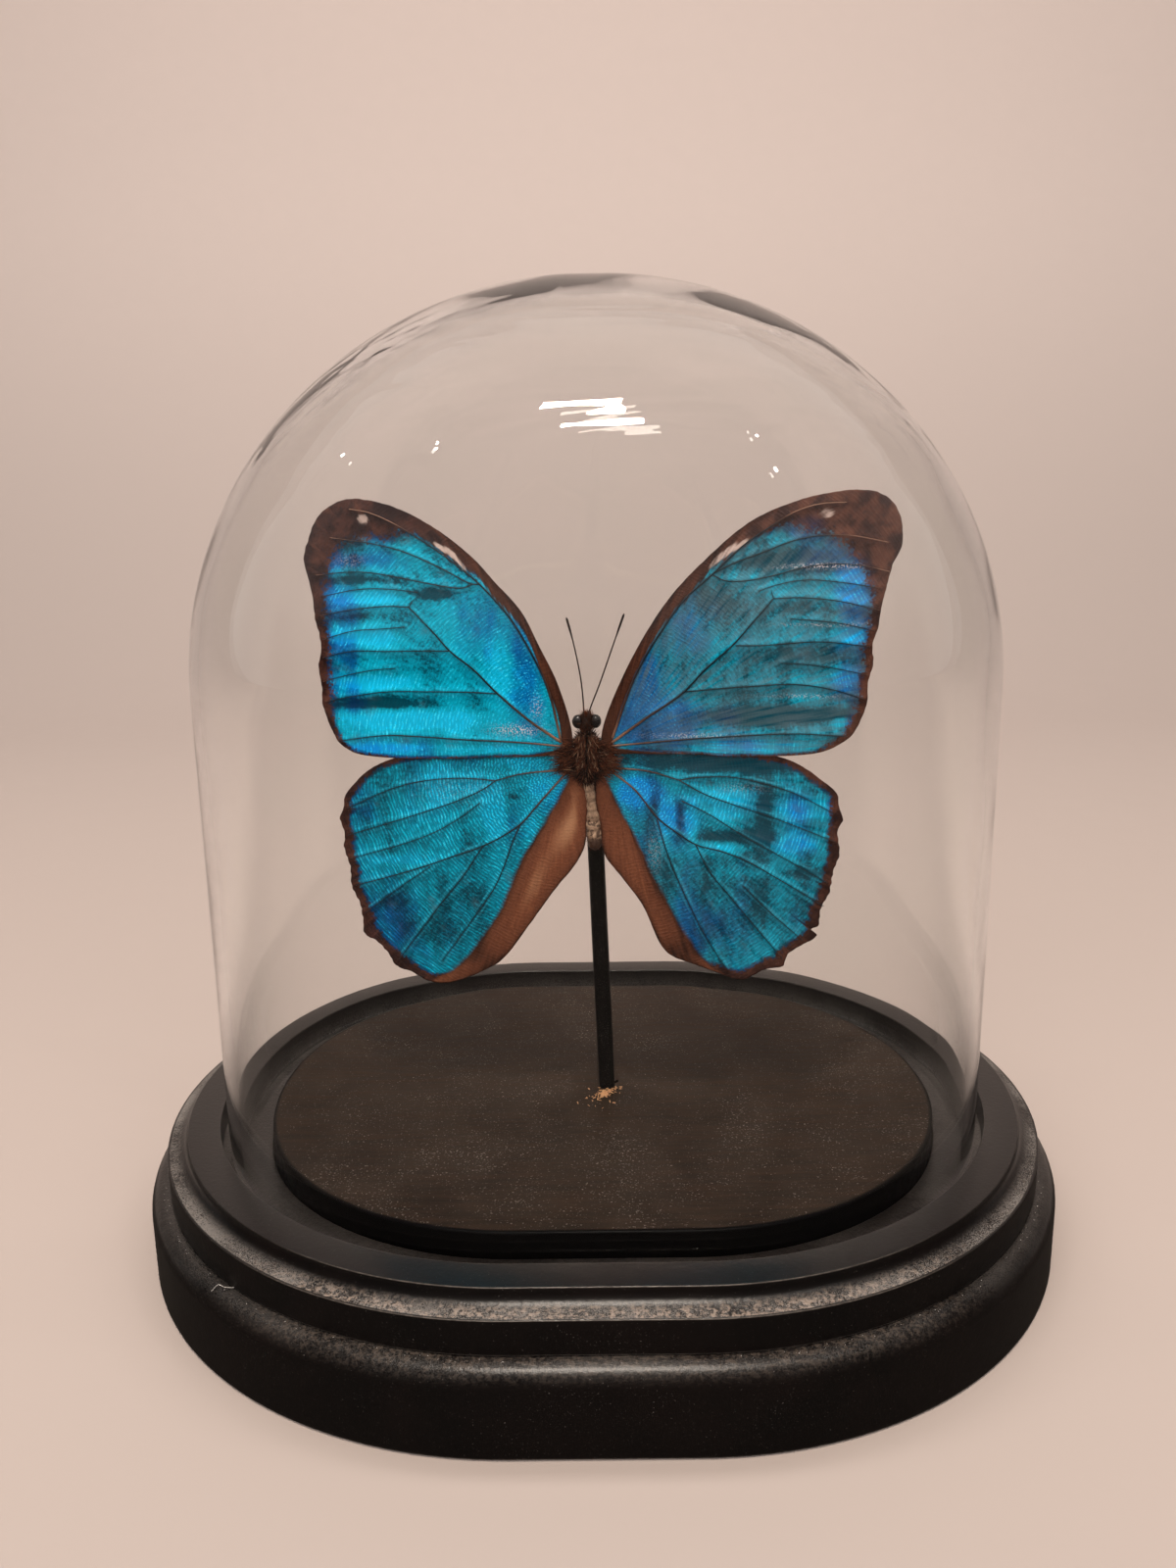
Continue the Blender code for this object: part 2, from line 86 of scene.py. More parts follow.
# root: where the wing joins the body. plane: the y of the wing's sheet at the line it is turned about.
# gold_and_painted_sheen: how golden the warm parts are, and how strong the painted sheen on them is.
# rubbed_and_painted_shade: how far the scales are worn away, together with a painted shade that dulls
# the blue of a wing turned from the light. combed: how clearly the rows of scales show.
# edge: (x, z, dark band, warm band) round the wing. The bands are the widths of the dark brown
# margin and of the warm brown costa or inner fold, measured inwards from that point.
# veins: (radius at the start, radius at the end, points), from the root outwards.
# patches: (x, z, half width, half height, gain), where painted sheen brightens the blue (positive gain)
# and where painted shade darkens it (negative gain), among them the painted shadow of the forewing along
# a hindwing's upper edge.
# violet, bare_and_painted_glints and sheen: the same, where the blue leans from teal to violet, where
# the scales are rubbed down to pale specks that carry painted glints, some as pale painted highlights
# along veins, and where a fold's painted sheen is stronger or weaker.
# tip: where a forewing's brown tip begins, from the front margin round to the hind corner.
# fold: where the blue ends at a hindwing's brown inner fold, from the root to the hind corner.
# marks: pale marks as (x, z, half width, half height, lean in degrees).
# eyes: eye spots of the underside as (x, z, radius).
WINGS = {
    "forewing_left": dict(
        root=(-7, 104.9), plane=FOREWING_Y, gold_and_painted_sheen=0.12, rubbed_and_painted_shade=0, combed=0.5,
        edge=(
            (-5.6, 103.6, 0, 3), (-4.8, 106.5, 0, 4.2), (-7.5, 117, 0, 3.2), (-11.3, 125.2, 0, 2.7),
            (-15, 132.5, 0, 2.5), (-21, 139.2, 0, 2.4), (-25, 143.5, 1.5, 2.4), (-31.5, 149, 3.6, 0.8),
            (-37.5, 152.5, 3.6, 0), (-43.5, 154.6, 3.6, 0), (-49.5, 155.5, 3.6, 0), (-53.5, 154.6, 3.6, 0),
            (-57, 152.2, 3, 0), (-59.2, 148, 3, 0), (-60.5, 144, 3, 0), (-59.5, 139.5, 2.6, 0),
            (-58.5, 135.5, 2.4, 0), (-58, 131, 2, 0), (-57, 127, 1.8, 0), (-57, 124, 1.6, 0),
            (-57.8, 121, 1.8, 0), (-57.4, 117.5, 1.6, 0), (-57.5, 113.2, 1.6, 0), (-56.5, 109.6, 1.3, 0),
            (-55.4, 107, 1, 0), (-53.8, 104.7, 0.9, 0), (-51.2, 103, 0.6, 0), (-46, 102.1, 0.3, 0),
            (-36.5, 101.9, 0.2, 0), (-22, 102.2, 0.3, 0), (-10, 102.6, 0.3, 1.2)),
        veins=(
            (0.42, 0.14, ((-7.2, 106), (-9.5, 116), (-12.5, 123), (-17.5, 131.5), (-23, 137.5), (-27, 141),
             (-32, 145), (-39.5, 150), (-45, 152.5), (-49.5, 153.5))),
            (0.2, 0.12, ((-23.5, 138), (-25, 138), (-31.5, 141.5), (-38, 144.5), (-43.5, 146), (-54, 148))),
            (0.18, 0.12, ((-25, 138), (-27, 137.3), (-35, 138.5), (-40.5, 139.6), (-47.5, 140.5),
             (-57.5, 140.3))),
            (0.12, 0.12, ((-36, 136.5), (-41, 137), (-47, 137), (-56, 135.7))),
            (0.14, 0.1, ((-38, 133.5), (-37, 135))),
            (0.46, 0.18, ((-7.2, 105.6), (-13, 109.5), (-20.5, 116), (-25, 120.5), (-30, 124.5), (-33, 128),
             (-38, 133.5))),
            (0.16, 0.12, ((-38, 133.5), (-42, 133.6), (-48, 133), (-56.5, 131.7))),
            (0.12, 0.12, ((-39, 129.5), (-44, 129), (-49.5, 128.5), (-56.3, 126.7))),
            (0.18, 0.12, ((-30, 124.5), (-35.5, 124.6), (-43.5, 124.5), (-50, 124.4), (-56.6, 123))),
            (0.12, 0.12, ((-41.5, 121), (-46, 120.6), (-51, 119.6), (-57, 118))),
            (0.2, 0.12, ((-20.5, 115.6), (-26, 116), (-35.5, 116.1), (-44, 116), (-50.5, 115.1),
             (-56.8, 113.8))),
            (0.3, 0.12, ((-6.5, 104.6), (-15, 105.4), (-27.5, 106.1), (-38, 106.7), (-44.5, 106.8),
             (-54.5, 105.6)))),
        patches=(
            (-48, 135.3, 7, 1.2, 1.3), (-49, 127.3, 7, 1.5, 1.3), (-47, 118, 8, 1.6, 1.2),
            (-38, 110, 13, 2, 1.3), (-46, 104.2, 12, 1.4, 0.8), (-18, 120, 7, 9, 0.4),
            (-20, 104, 9, 1.2, 0.5), (-46, 113.6, 11, 1.3, -0.9), (-33, 136.2, 3.5, 1.2, -1.1),
            (-48, 139, 9, 1, -0.6), (-36, 121, 6, 2.5, -0.2), (-48, 131.5, 8, 1.2, -0.4)),
        violet=(
            (-14, 120, 5, 12, 0.9), (-22, 130, 5, 8, 0.6), (-51, 134, 6, 4, 0.75), (-52, 125, 5, 4, 0.8),
            (-52, 118, 4, 3, 0.6), (-49, 143, 7, 2.2, 0.9), (-48, 104, 12, 2, 0.8), (-52, 113, 5, 3, 0.5)),
        bare_and_painted_glints=((-16, 108, 4.2, 1, 1), (-12, 112.5, 1, 2, 0.6), (-50, 143, 3, 1.2, 0.35)),
        tip=(
            (-31, 149.6), (-38, 148.3), (-43, 147.4), (-48, 147.4), (-52.6, 145.6), (-54.6, 142),
            (-55.4, 136.5), (-55.6, 128), (-55.4, 119), (-55.8, 112), (-55.6, 107)),
        fold=(), sheen=(),
        marks=(
            (-46.5, 151.3, 1.3, 1, 0), (-30.9, 145.4, 2, 0.5, -38), (-29, 144.1, 2.5, 0.6, -46),
            (-27.3, 142.2, 1.9, 0.38, -52)),
        eyes=((-43, 141, 2.6), (-47, 127, 3.4), (-47, 116, 3))),
    "forewing_right": dict(
        root=(3.4, 104.9), plane=FOREWING_Y, gold_and_painted_sheen=0.12, rubbed_and_painted_shade=0.7, combed=0.35,
        edge=(
            (1.6, 103.6, 0, 3), (1.2, 107.3, 0, 4.2), (7, 122, 0, 3), (14.8, 134.6, 0, 2.7),
            (22.5, 142.6, 0, 3), (30.8, 149.4, 3.4, 1), (39, 153, 3.6, 0), (45, 154.6, 3.6, 0),
            (50.5, 155.2, 3.6, 0), (55.5, 154.4, 3.6, 0), (58.2, 152.3, 3.6, 0), (59.6, 149.3, 3.6, 0),
            (60, 144.5, 3.6, 0), (58.2, 140.6, 3, 0), (57.2, 136.5, 2.4, 0), (56.2, 132, 1.8, 0),
            (56, 129, 1.6, 0), (55, 125.2, 1.6, 0), (55.4, 121.6, 1.8, 0), (54.5, 118.2, 1.5, 0),
            (54.5, 113.6, 1.6, 0), (53.2, 110, 1.6, 0), (51.5, 107.2, 1.6, 0), (48.6, 105, 1, 0),
            (45.5, 103.7, 0.6, 0), (40, 103, 0.4, 0), (28, 102.9, 0.2, 0), (19.5, 103.2, 0.3, 0),
            (9, 103.2, 0.3, 1)),
        veins=(
            (0.42, 0.14, ((3.4, 106.5), (8, 119), (12.5, 127), (17.5, 134), (23.5, 139.5), (29.5, 145),
             (34, 148), (39, 151), (44, 152.6), (49, 152.9))),
            (0.2, 0.12, ((23.5, 139.5), (27.5, 141.5), (33.5, 143.6), (39, 145.5), (44.5, 146.5), (50, 146.5),
             (57, 145.3))),
            (0.18, 0.12, ((23.5, 139.2), (25.5, 138.2), (29, 138), (35.5, 139), (41.5, 140.4), (47, 141),
             (52.5, 140.6), (57.6, 139.5))),
            (0.12, 0.12, ((32.5, 136), (35.5, 137), (41.5, 138), (47.5, 137.6), (55.5, 136.3))),
            (0.14, 0.1, ((35.5, 134.5), (35, 136))),
            (0.46, 0.18, ((3.4, 105.6), (10, 110.4), (17.5, 115.6), (22, 120.4), (27.5, 125.4), (31.5, 130),
             (35.5, 134.5))),
            (0.16, 0.12, ((35.5, 134.5), (41.5, 134.6), (47.5, 134), (55.8, 132))),
            (0.12, 0.12, ((39, 130.5), (43.5, 130.2), (48.5, 129.6), (55.2, 128))),
            (0.18, 0.12, ((28, 125.2), (33.5, 125.2), (39.5, 125.7), (45.5, 126), (54.4, 124.9))),
            (0.12, 0.12, ((37, 121.7), (42.5, 121.4), (48, 120.6), (54.4, 119.2))),
            (0.2, 0.12, ((17.5, 115.9), (24.5, 116.5), (31.5, 117), (40, 117.4), (47, 116.4), (53.8, 114.4))),
            (0.3, 0.12, ((3.2, 104.8), (15, 106), (27.5, 107), (40, 107.5), (50.5, 106.9)))),
        patches=(
            (50.5, 138.5, 3, 2, 1.3), (51, 134.5, 4, 1.5, 1.2), (51, 127, 3.5, 1.6, 1.2),
            (50, 119, 3.5, 1.8, 1.3), (49, 109.8, 2.5, 1, 0.9), (31, 104.6, 9, 1.4, 0.9),
            (14, 112, 6, 2.5, 0.5), (11, 120, 4, 6, 0.2), (31, 126, 6, 3, 0.25), (40, 136.5, 8, 1.2, 0.3),
            (22, 128, 5, 4, 0.15), (38, 111, 17, 1.5, -1), (38, 141.8, 10, 2, -0.6), (24, 134, 7, 3, -0.3),
            (32, 124, 32, 30, -0.16), (40, 123, 9, 2, -0.35), (38, 132.5, 7, 1.5, -0.3)),
        violet=(
            (9, 116, 6, 12, 1.1), (16, 110, 12, 4, 1), (18, 128, 6, 8, 0.6), (51, 135, 4, 6, 1.4),
            (51, 118, 4, 4, 1.2), (42, 148.5, 6, 3, 1), (46, 142, 7, 3, 0.9), (30, 105, 12, 2, 0.7),
            (49, 126, 5, 3, 0.6)),
        bare_and_painted_glints=(
            (47, 140.6, 9, 0.5, 1), (46, 129.3, 9, 0.3, 0.6), (42, 115, 8, 0.4, 0.5), (20, 107, 9, 0.5, 0.4)),
        tip=(
            (31, 149.6), (37, 148.8), (42, 147.8), (47, 146.3), (51, 142.4), (53.8, 137.4), (54.5, 131),
            (53.7, 125), (53.2, 118), (52.3, 112), (50.2, 107)),
        fold=(), sheen=(),
        marks=(
            (45.5, 150.8, 1.2, 0.9, 0), (24.2, 142.1, 2.2, 0.52, 46), (26.2, 143.6, 2.7, 0.6, 42),
            (28.7, 144.9, 2.1, 0.4, 36)),
        eyes=((41, 141, 2.6), (45, 127, 3.4), (45, 116, 3))),
    "hindwing_left": dict(
        root=(-6.8, 98.8), plane=HINDWING_Y, gold_and_painted_sheen=0.7, rubbed_and_painted_shade=0, combed=1,
        edge=(
            (-5, 102.6, 0, 1), (-20, 104.6, 1, 0), (-34, 103.6, 1, 0), (-43.5, 101.5, 1.2, 0),
            (-48.5, 99, 1.1, 0), (-52.5, 95.2, 1.2, 0), (-54.2, 92.8, 1.5, 0), (-54.5, 90.4, 1.7, 0),
            (-55.5, 88.4, 2, 0), (-54.6, 84.7, 1.7, 0), (-55, 82, 2, 0), (-54, 77.5, 1.7, 0),
            (-54, 73.2, 1.9, 0), (-52.5, 69.2, 1.7, 0), (-52, 65.8, 2.2, 0), (-51.8, 62.2, 3, 0),
            (-49, 60.4, 1.8, 0), (-46.5, 57.6, 1.8, 0), (-44.8, 54.7, 2.8, 0), (-41.5, 53.4, 1.8, 0),
            (-38.5, 51.6, 1.8, 0), (-35, 51, 2, 1.5), (-30.5, 52, 1, 3), (-24, 55, 0.6, 5.2),
            (-20.5, 57.6, 0, 6.4), (-15, 65, 0, 7.6), (-9, 73.5, 0, 9), (-4.6, 79, 0, 10), (-2.6, 83, 0, 9.5),
            (-2.1, 88.5, 0, 7.8), (-1.9, 94.5, 0, 6)),
        veins=(
            (0.28, 0.18, ((-6.8, 99.4), (-15.5, 98.5), (-21, 97))),
            (0.18, 0.1, ((-21, 97), (-24.5, 94.6), (-31, 92), (-39, 89.5), (-54, 84.5))),
            (0.18, 0.1, ((-21, 97), (-29, 97.5), (-36.5, 97), (-43, 95.4), (-53.6, 90.5))),
            (0.3, 0.12, ((-6.5, 98.5), (-12.5, 91.6), (-16, 87.6), (-24, 82.7), (-31, 80.2), (-37.5, 78),
             (-53, 73.5))),
            (0.18, 0.1, ((-16, 87.6), (-17.5, 84.5), (-20, 78), (-22.5, 73), (-26, 68), (-34.5, 56.5))),
            (0.18, 0.1, ((-24, 82.7), (-26, 80), (-28, 77), (-34.5, 69), (-44, 56.5))),
            (0.14, 0.1, ((-24.5, 92), (-29, 88.8), (-35.5, 85.4), (-53.4, 79.5))),
            (0.12, 0.1, ((-36, 78), (-43, 73.4), (-51.6, 67)))),
        patches=(
            (-10, 95.5, 4, 3, 1.5), (-21.5, 90.5, 2, 5, 1.8), (-34, 96.5, 2.6, 4.5, 1.5),
            (-27, 96.5, 5, 3, 0.6), (-16, 101, 6, 1.6, 0.8), (-43, 79.5, 8, 1.3, 0.7), (-14, 87, 1.6, 4, 0.6),
            (-38, 90, 5, 4, 0.4), (-34, 84, 3, 6, 0.3), (-46, 70, 5, 3, -0.45), (-37, 63, 8, 4, -0.4),
            (-25, 82, 4, 3, -0.3), (-50, 88, 3, 5, -0.2), (-28, 72, 8, 6, -0.25), (-34, 102.5, 14, 1, -0.9),
            (-17, 93.5, 1.6, 0.6, -0.5), (-15.5, 95, 1.2, 0.5, -0.4)),
        violet=(
            (-9, 95, 5, 6, 0.8), (-46, 66, 9, 9, 0.9), (-50, 90, 5, 6, 0.5), (-18, 88, 4, 6, 0.4),
            (-30, 101, 14, 2, 0.3)),
        bare_and_painted_glints=((-30, 95, 9, 3, 0.1),),
        tip=(),
        fold=(
            (-4.6, 101), (-5.8, 98.2), (-7.3, 94.6), (-9.1, 91.3), (-12.1, 86.5), (-15.8, 80.6),
            (-18.6, 74.5), (-21, 68.8), (-24.4, 63.8), (-27.6, 59.4), (-31, 55.6), (-37, 51.6)),
        sheen=((-6.5, 88, 4, 7, 0.26), (-13, 73, 3.5, 7, 0.16), (-26, 58, 9, 7, -0.55)),
        marks=(),
        eyes=((-45, 92, 3.6), (-43, 73, 3), (-39, 65, 2.8))),
    "hindwing_right": dict(
        root=(3.6, 98.8), plane=HINDWING_Y, gold_and_painted_sheen=0.45, rubbed_and_painted_shade=0.2, combed=0.75,
        edge=(
            (1.4, 102.6, 0, 1), (15, 104.8, 1.5, 0), (29, 104.2, 1.8, 0), (38.5, 102.2, 1.6, 0),
            (42, 100.5, 1.2, 0), (46, 97.6, 1.2, 0), (49, 95, 1.3, 0), (49.6, 92, 1.8, 0),
            (50.5, 89.5, 2.2, 0), (49.5, 87.2, 1.8, 0), (50, 82, 2.2, 0), (49, 79, 1.9, 0),
            (48.4, 75.2, 2.1, 0), (48.2, 73.6, 2.2, 0), (46.6, 70.6, 1.9, 0), (46, 66, 2.2, 0),
            (44.6, 65.4, 1.6, 0), (46, 64, 2.4, 0), (42.6, 61.6, 1.8, 0), (40, 59.6, 1.9, 0),
            (39, 57, 2.6, 0), (35.5, 56.4, 1.9, 0), (30.5, 54, 2, 0), (25.5, 55.4, 1.5, 1.5),
            (19.5, 57.4, 0.8, 4.6), (16, 58.6, 0.3, 6), (13.5, 61, 0, 6.5), (9.5, 70, 0, 6.6),
            (5, 76.4, 0, 7.2), (1.6, 81, 0, 8), (0.7, 87, 0, 7.6), (-0.2, 94, 0, 5.6)),
        veins=(
            (0.28, 0.18, ((3.4, 100), (10.5, 99.4), (17, 97.6))),
            (0.18, 0.1, ((17, 97.6), (20.5, 98.2), (27.5, 98.4), (34.5, 97), (40.5, 95), (48.6, 90.8))),
            (0.18, 0.1, ((17, 97.6), (21.5, 95), (28, 92.6), (35, 90.3), (48.8, 85))),
            (0.3, 0.12, ((3.4, 99), (8, 95.3), (12.5, 89.5), (16.5, 86.3), (20.5, 83.8), (26, 82.4),
             (31.5, 80.2), (37, 77), (47, 70.8))),
            (0.18, 0.1, ((12.5, 89), (14.5, 82), (17.5, 74.5), (21.5, 66), (27, 56.6))),
            (0.18, 0.1, ((20.5, 83.6), (23.5, 78), (27.5, 73), (32.5, 66.6), (38.8, 59))),
            (0.12, 0.1, ((30.5, 75), (35.5, 69.7), (43, 63))),
            (0.14, 0.1, ((17.5, 93.2), (23.5, 90.2), (30.5, 85.8), (39, 81), (47.6, 76)))),
        patches=(
            (8, 95, 3.5, 2.8, 1.7), (14.5, 89.5, 1.6, 4, 1.9), (19.5, 88.5, 1.3, 3.5, 1.7),
            (26, 94, 6, 1.6, 1.5), (27, 90.5, 5, 1.4, 0.9), (43, 91.5, 4.5, 1.7, 2), (41.5, 84.8, 4, 2, 1.8),
            (33, 78, 6, 1.2, 0.4), (25, 83, 5, 1.2, 0.8), (16, 103, 6, 1, 0.2), (31, 85.5, 12, 1.3, -0.8),
            (35, 92, 2.5, 6, -0.6), (12, 92, 1, 4, -0.45), (17.3, 90, 0.9, 4.5, -0.45),
            (28, 101.5, 18, 2, -1), (30, 73, 9, 8, -0.2), (42, 78, 6, 1, -0.6), (13, 79, 3, 5, -0.3),
            (28, 80, 40, 40, -0.1)),
        violet=(
            (9, 95, 5, 4, 1.3), (16, 89, 6, 5, 0.8), (41, 92, 8, 4, 0.7), (41, 84, 6, 3, 0.7),
            (26, 93, 6, 3, 0.35), (22, 66, 8, 9, 0.8), (12, 82, 4, 6, 0.4)),
        bare_and_painted_glints=((30, 96, 5, 1, 0.25), (12, 82, 1.5, 4, 0.3)),
        tip=(),
        fold=(
            (1, 101), (1.9, 98.3), (3.5, 94.7), (5.7, 89.7), (9.1, 83.2), (11.9, 76.6), (14.6, 71.5),
            (17.5, 66), (21.2, 60.2), (25.6, 55.6), (31, 52.6)),
        sheen=((5, 88, 2, 4, 0.2), (8, 76, 2.5, 5, 0.2), (18, 60, 7, 6, -0.35)),
        marks=(),
        eyes=((41, 92, 3.6), (38, 73, 3), (34, 65, 2.8))),
}

# Points (x, y, z) in mm from the head outwards.
ANTENNAE = {
    "antenna_left": ((-2.4, -5.5, 111.5), (-2.9, -5.9, 118), (-4.4, -6.3, 126), (-5.7, -6.5, 131)),
    "antenna_right": ((-1.3, -5.5, 111.5), (0.9, -6, 117.5), (3.9, -6.4, 126), (5.9, -6.6, 131.6)),
}


# ---------------------------------------------------------------- settings a user would change

class BaseSettings(bpy.types.PropertyGroup):
    """Sizes and colours of the wooden base."""

    arc_steps: IntProperty(
        name="Arc steps", description="Steps round each half circle of the base", default=96, min=24)
    rim_radius: FloatProperty(
        name="Rim radius", description="Racetrack radius where the cove meets the rim", default=73.9 * MM,
        unit="LENGTH")
    pocket_radius: FloatProperty(
        name="Pocket radius", description="Racetrack radius of the pocket that the dome stands in",
        default=67.2 * MM, unit="LENGTH")
    pocket_depth: FloatProperty(
        name="Pocket depth", description="Depth of that pocket below the rim", default=5.4 * MM,
        unit="LENGTH")
    cove_height: FloatProperty(
        name="Cove height", description="Height of the cove's foot above the underside", default=23.3 * MM,
        unit="LENGTH")
    lacquer: FloatVectorProperty(
        name="Lacquer", description="Colour of the base's lacquer", subtype="COLOR",
        default=(0.0028, 0.0023, 0.0022))
    deck: FloatVectorProperty(
        name="Deck", description="Colour of the raised board", subtype="COLOR",
        default=(0.0095, 0.0056, 0.0035))


class GlassSettings(bpy.types.PropertyGroup):
    """Shape of the glass dome."""

    wall: FloatProperty(name="Wall", description="Thickness of the glass", default=2.4 * MM, unit="LENGTH")
    spring_height: FloatProperty(
        name="Spring height", description="Height at which the straight wall turns into the crown",
        default=117.6 * MM, unit="LENGTH")
    waviness: FloatProperty(
        name="Waviness", description="Unevenness of the blown inner face", default=0.16 * MM, unit="LENGTH")
    crown_extra: FloatProperty(
        name="Crown extra", description="How much thicker the glass is at the top of the crown",
        default=0.6 * MM, unit="LENGTH")
    arc_steps: IntProperty(
        name="Arc steps", description="Steps round each half circle of the dome", default=80, min=24)
    crown_steps: IntProperty(
        name="Crown steps", description="Steps from the straight wall to the pole", default=64, min=16)


class WingSettings(bpy.types.PropertyGroup):
    """Fineness, relief and colours of the wings."""

    columns: IntProperty(name="Columns", description="Points round a wing's edge", default=420, min=100)
    rows_top: IntProperty(
        name="Rows, top", description="Rows from root to edge on the upper side", default=130, min=20)
    rows_under: IntProperty(
        name="Rows, under", description="Rows from edge to root on the underside", default=50, min=10)
    thickness: FloatProperty(
        name="Thickness", description="Thickness of the membrane", default=0.22 * MM, unit="LENGTH")
    relief: FloatProperty(
        name="Relief", description="How far the membrane sinks between its veins", default=0.42 * MM,
        unit="LENGTH")
    # The blues below are painted light: the bright ones painted sheen, the deep ones painted shade, the
    # middle ones between.
    bright: FloatVectorProperty(
        name="Bright blue", description="Scales that catch the light", subtype="COLOR",
        default=(0.004, 0.62, 1.0))
    middle: FloatVectorProperty(
        name="Middle blue", description="Most of the wing", subtype="COLOR", default=(0.0, 0.45, 0.655))
    deep: FloatVectorProperty(
        name="Deep teal", description="Scales turned away from the light", subtype="COLOR",
        default=(0.0, 0.055, 0.085))
    bright_violet: FloatVectorProperty(
        name="Bright violet blue", description="Scales that catch the light near margin and root",
        subtype="COLOR", default=(0.002, 0.35, 0.98))
    middle_violet: FloatVectorProperty(
        name="Middle violet blue", description="The deeper blue near margin and root", subtype="COLOR",
        default=(0.0, 0.135, 0.42))
    deep_violet: FloatVectorProperty(
        name="Deep violet blue", description="That blue turned away from the light", subtype="COLOR",
        default=(0.001, 0.024, 0.105))
    margin: FloatVectorProperty(
        name="Margin", description="Dark brown margin", subtype="COLOR", default=(0.050, 0.017, 0.011))


class BodySettings(bpy.types.PropertyGroup):
    """Hair and colours of the body."""

    thorax_hairs: IntProperty(name="Thorax hairs", description="Hairs on the thorax", default=3200, min=100)
    head_hairs: IntProperty(name="Head hairs", description="Hairs on the head", default=1500, min=100)
    fur: FloatVectorProperty(
        name="Fur", description="Dark brown hair", subtype="COLOR", default=(0.008, 0.003, 0.002))
    skin: FloatVectorProperty(
        name="Dry skin", description="Rubbed, dry skin of the abdomen", subtype="COLOR",
        default=(0.44, 0.29, 0.19))


class StageSettings(bpy.types.PropertyGroup):
    """Floor, lamps and camera."""

    floor: FloatVectorProperty(
        name="Floor", description="Pale floor and backdrop", subtype="COLOR", default=(0.62, 0.515, 0.465))
    ambient: FloatProperty(name="Ambient", description="Strength of the even light all round", default=0.03)
    surround: FloatProperty(
        name="Surround", description="Brightness of the pale room as the glass bends it into view",
        default=0.42)
    key_power: FloatProperty(name="Key", description="Power of the ceiling lamp", default=12.0, unit="POWER")
    front_power: FloatProperty(
        name="Front", description="Power of the soft lamp in front", default=9.0, unit="POWER")
    wash_power: FloatProperty(
        name="Wash", description="Power of each wide lamp in front", default=16.0, unit="POWER")
    wall_power: FloatProperty(
        name="Wall", description="Power of the lamp on the backdrop", default=23.0, unit="POWER")
    lens: FloatProperty(
        name="Lens", description="Focal length on a 36 mm long side", default=27.0, unit="CAMERA")


# ---------------------------------------------------------------- mesh tools

def steps_between(points):
    """Distances between neighbours: in space for points of three columns, else in the plane of the
    first two."""
    flat = points if points.shape[1] == 3 else points[:, :2]
    return np.linalg.norm(np.diff(flat, axis=0), axis=1)


def smooth_curve(points, per_span=12, closed=False):
    """Curve through the points whose knots are spaced by the square root of their distances in the
    plane (centripetal Catmull-Rom), so it neither loops nor overshoots at a short span. Further
    columns, such as band widths, are carried along with the same weights."""
    p = np.asarray(points, float)
    if closed:
        q = np.concatenate([p[-1:], p, p[:2]])
    else:
        q = np.concatenate([2 * p[:1] - p[1:2], p, 2 * p[-1:] - p[-2:-1]])
    knots = np.concatenate([[0], np.cumsum(np.sqrt(steps_between(q)))])
    a, b, c, d = (q[i:len(q) - 3 + i, None, :] for i in range(4))
    ka, kb, kc, kd = (knots[i:len(q) - 3 + i, None, None] for i in range(4))
    t = kb + (kc - kb) * np.linspace(0, 1, per_span, endpoint=False)[None, :, None]
    ab = (kb - t) / (kb - ka) * a + (t - ka) / (kb - ka) * b
    bc = (kc - t) / (kc - kb) * b + (t - kb) / (kc - kb) * c
    cd = (kd - t) / (kd - kc) * c + (t - kc) / (kd - kc) * d
    abc = (kc - t) / (kc - ka) * ab + (t - ka) / (kc - ka) * bc
    bcd = (kd - t) / (kd - kb) * bc + (t - kb) / (kd - kb) * cd
    curve = ((kc - t) / (kc - kb) * abc + (t - kb) / (kc - kb) * bcd).reshape(-1, p.shape[1])
    return curve if closed else np.concatenate([curve, p[-1:]])


def even_steps(curve, count, closed=False):
    """The curve resampled to count points at even distances along it."""
    run = np.concatenate([curve, curve[:1]]) if closed else curve
    along = np.concatenate([[0], np.cumsum(steps_between(run))])
    wanted = np.linspace(0, along[-1], count, endpoint=not closed)
    return np.stack([np.interp(wanted, along, run[:, k]) for k in range(run.shape[1])], axis=1)


def grid_faces(rows, columns, wrap_rows=False, wrap_columns=False, start=0):
    """Quads between neighbours of a grid of points that is numbered row by row."""
    i = np.arange(rows if wrap_rows else rows - 1)[:, None]
    j = np.arange(columns if wrap_columns else columns - 1)[None, :]
    below, above = i * columns, (i + 1) % rows * columns
    after = (j + 1) % columns
    quads = np.stack([below + j, below + after, above + after, above + j], axis=-1)
    return quads.reshape(-1, 4) + start


def fan_faces(pole, ring):
    """Triangles from one point to each side of a closed ring of points."""
    return np.stack([np.full(len(ring), pole), ring, np.roll(ring, -1)], axis=1)


def closed_faces(rows, columns):
    """Quads round a grid whose columns close on themselves, and a fan to its first and to its last
    row from two poles that are numbered after the grid."""
    count = rows * columns
    return [grid_faces(rows, columns, wrap_columns=True), fan_faces(count, np.arange(columns)[::-1]),
            fan_faces(count + 1, np.arange(count - columns, count))]


def unit(rows):
    """Vectors scaled to length 1."""
    return rows / np.linalg.norm(rows, axis=-1)[..., None]


def pointing_out(points, faces):
    """The faces, each turned round if together they enclose a negative volume."""
    volume = 0.0
    for part in faces:
        corners = points[part]
        for k in range(1, part.shape[1] - 1):
            volume += np.einsum("ij,ij->", corners[:, 0], np.cross(corners[:, k], corners[:, k + 1]))
    return [part[:, ::-1] for part in faces] if volume < 0 else faces


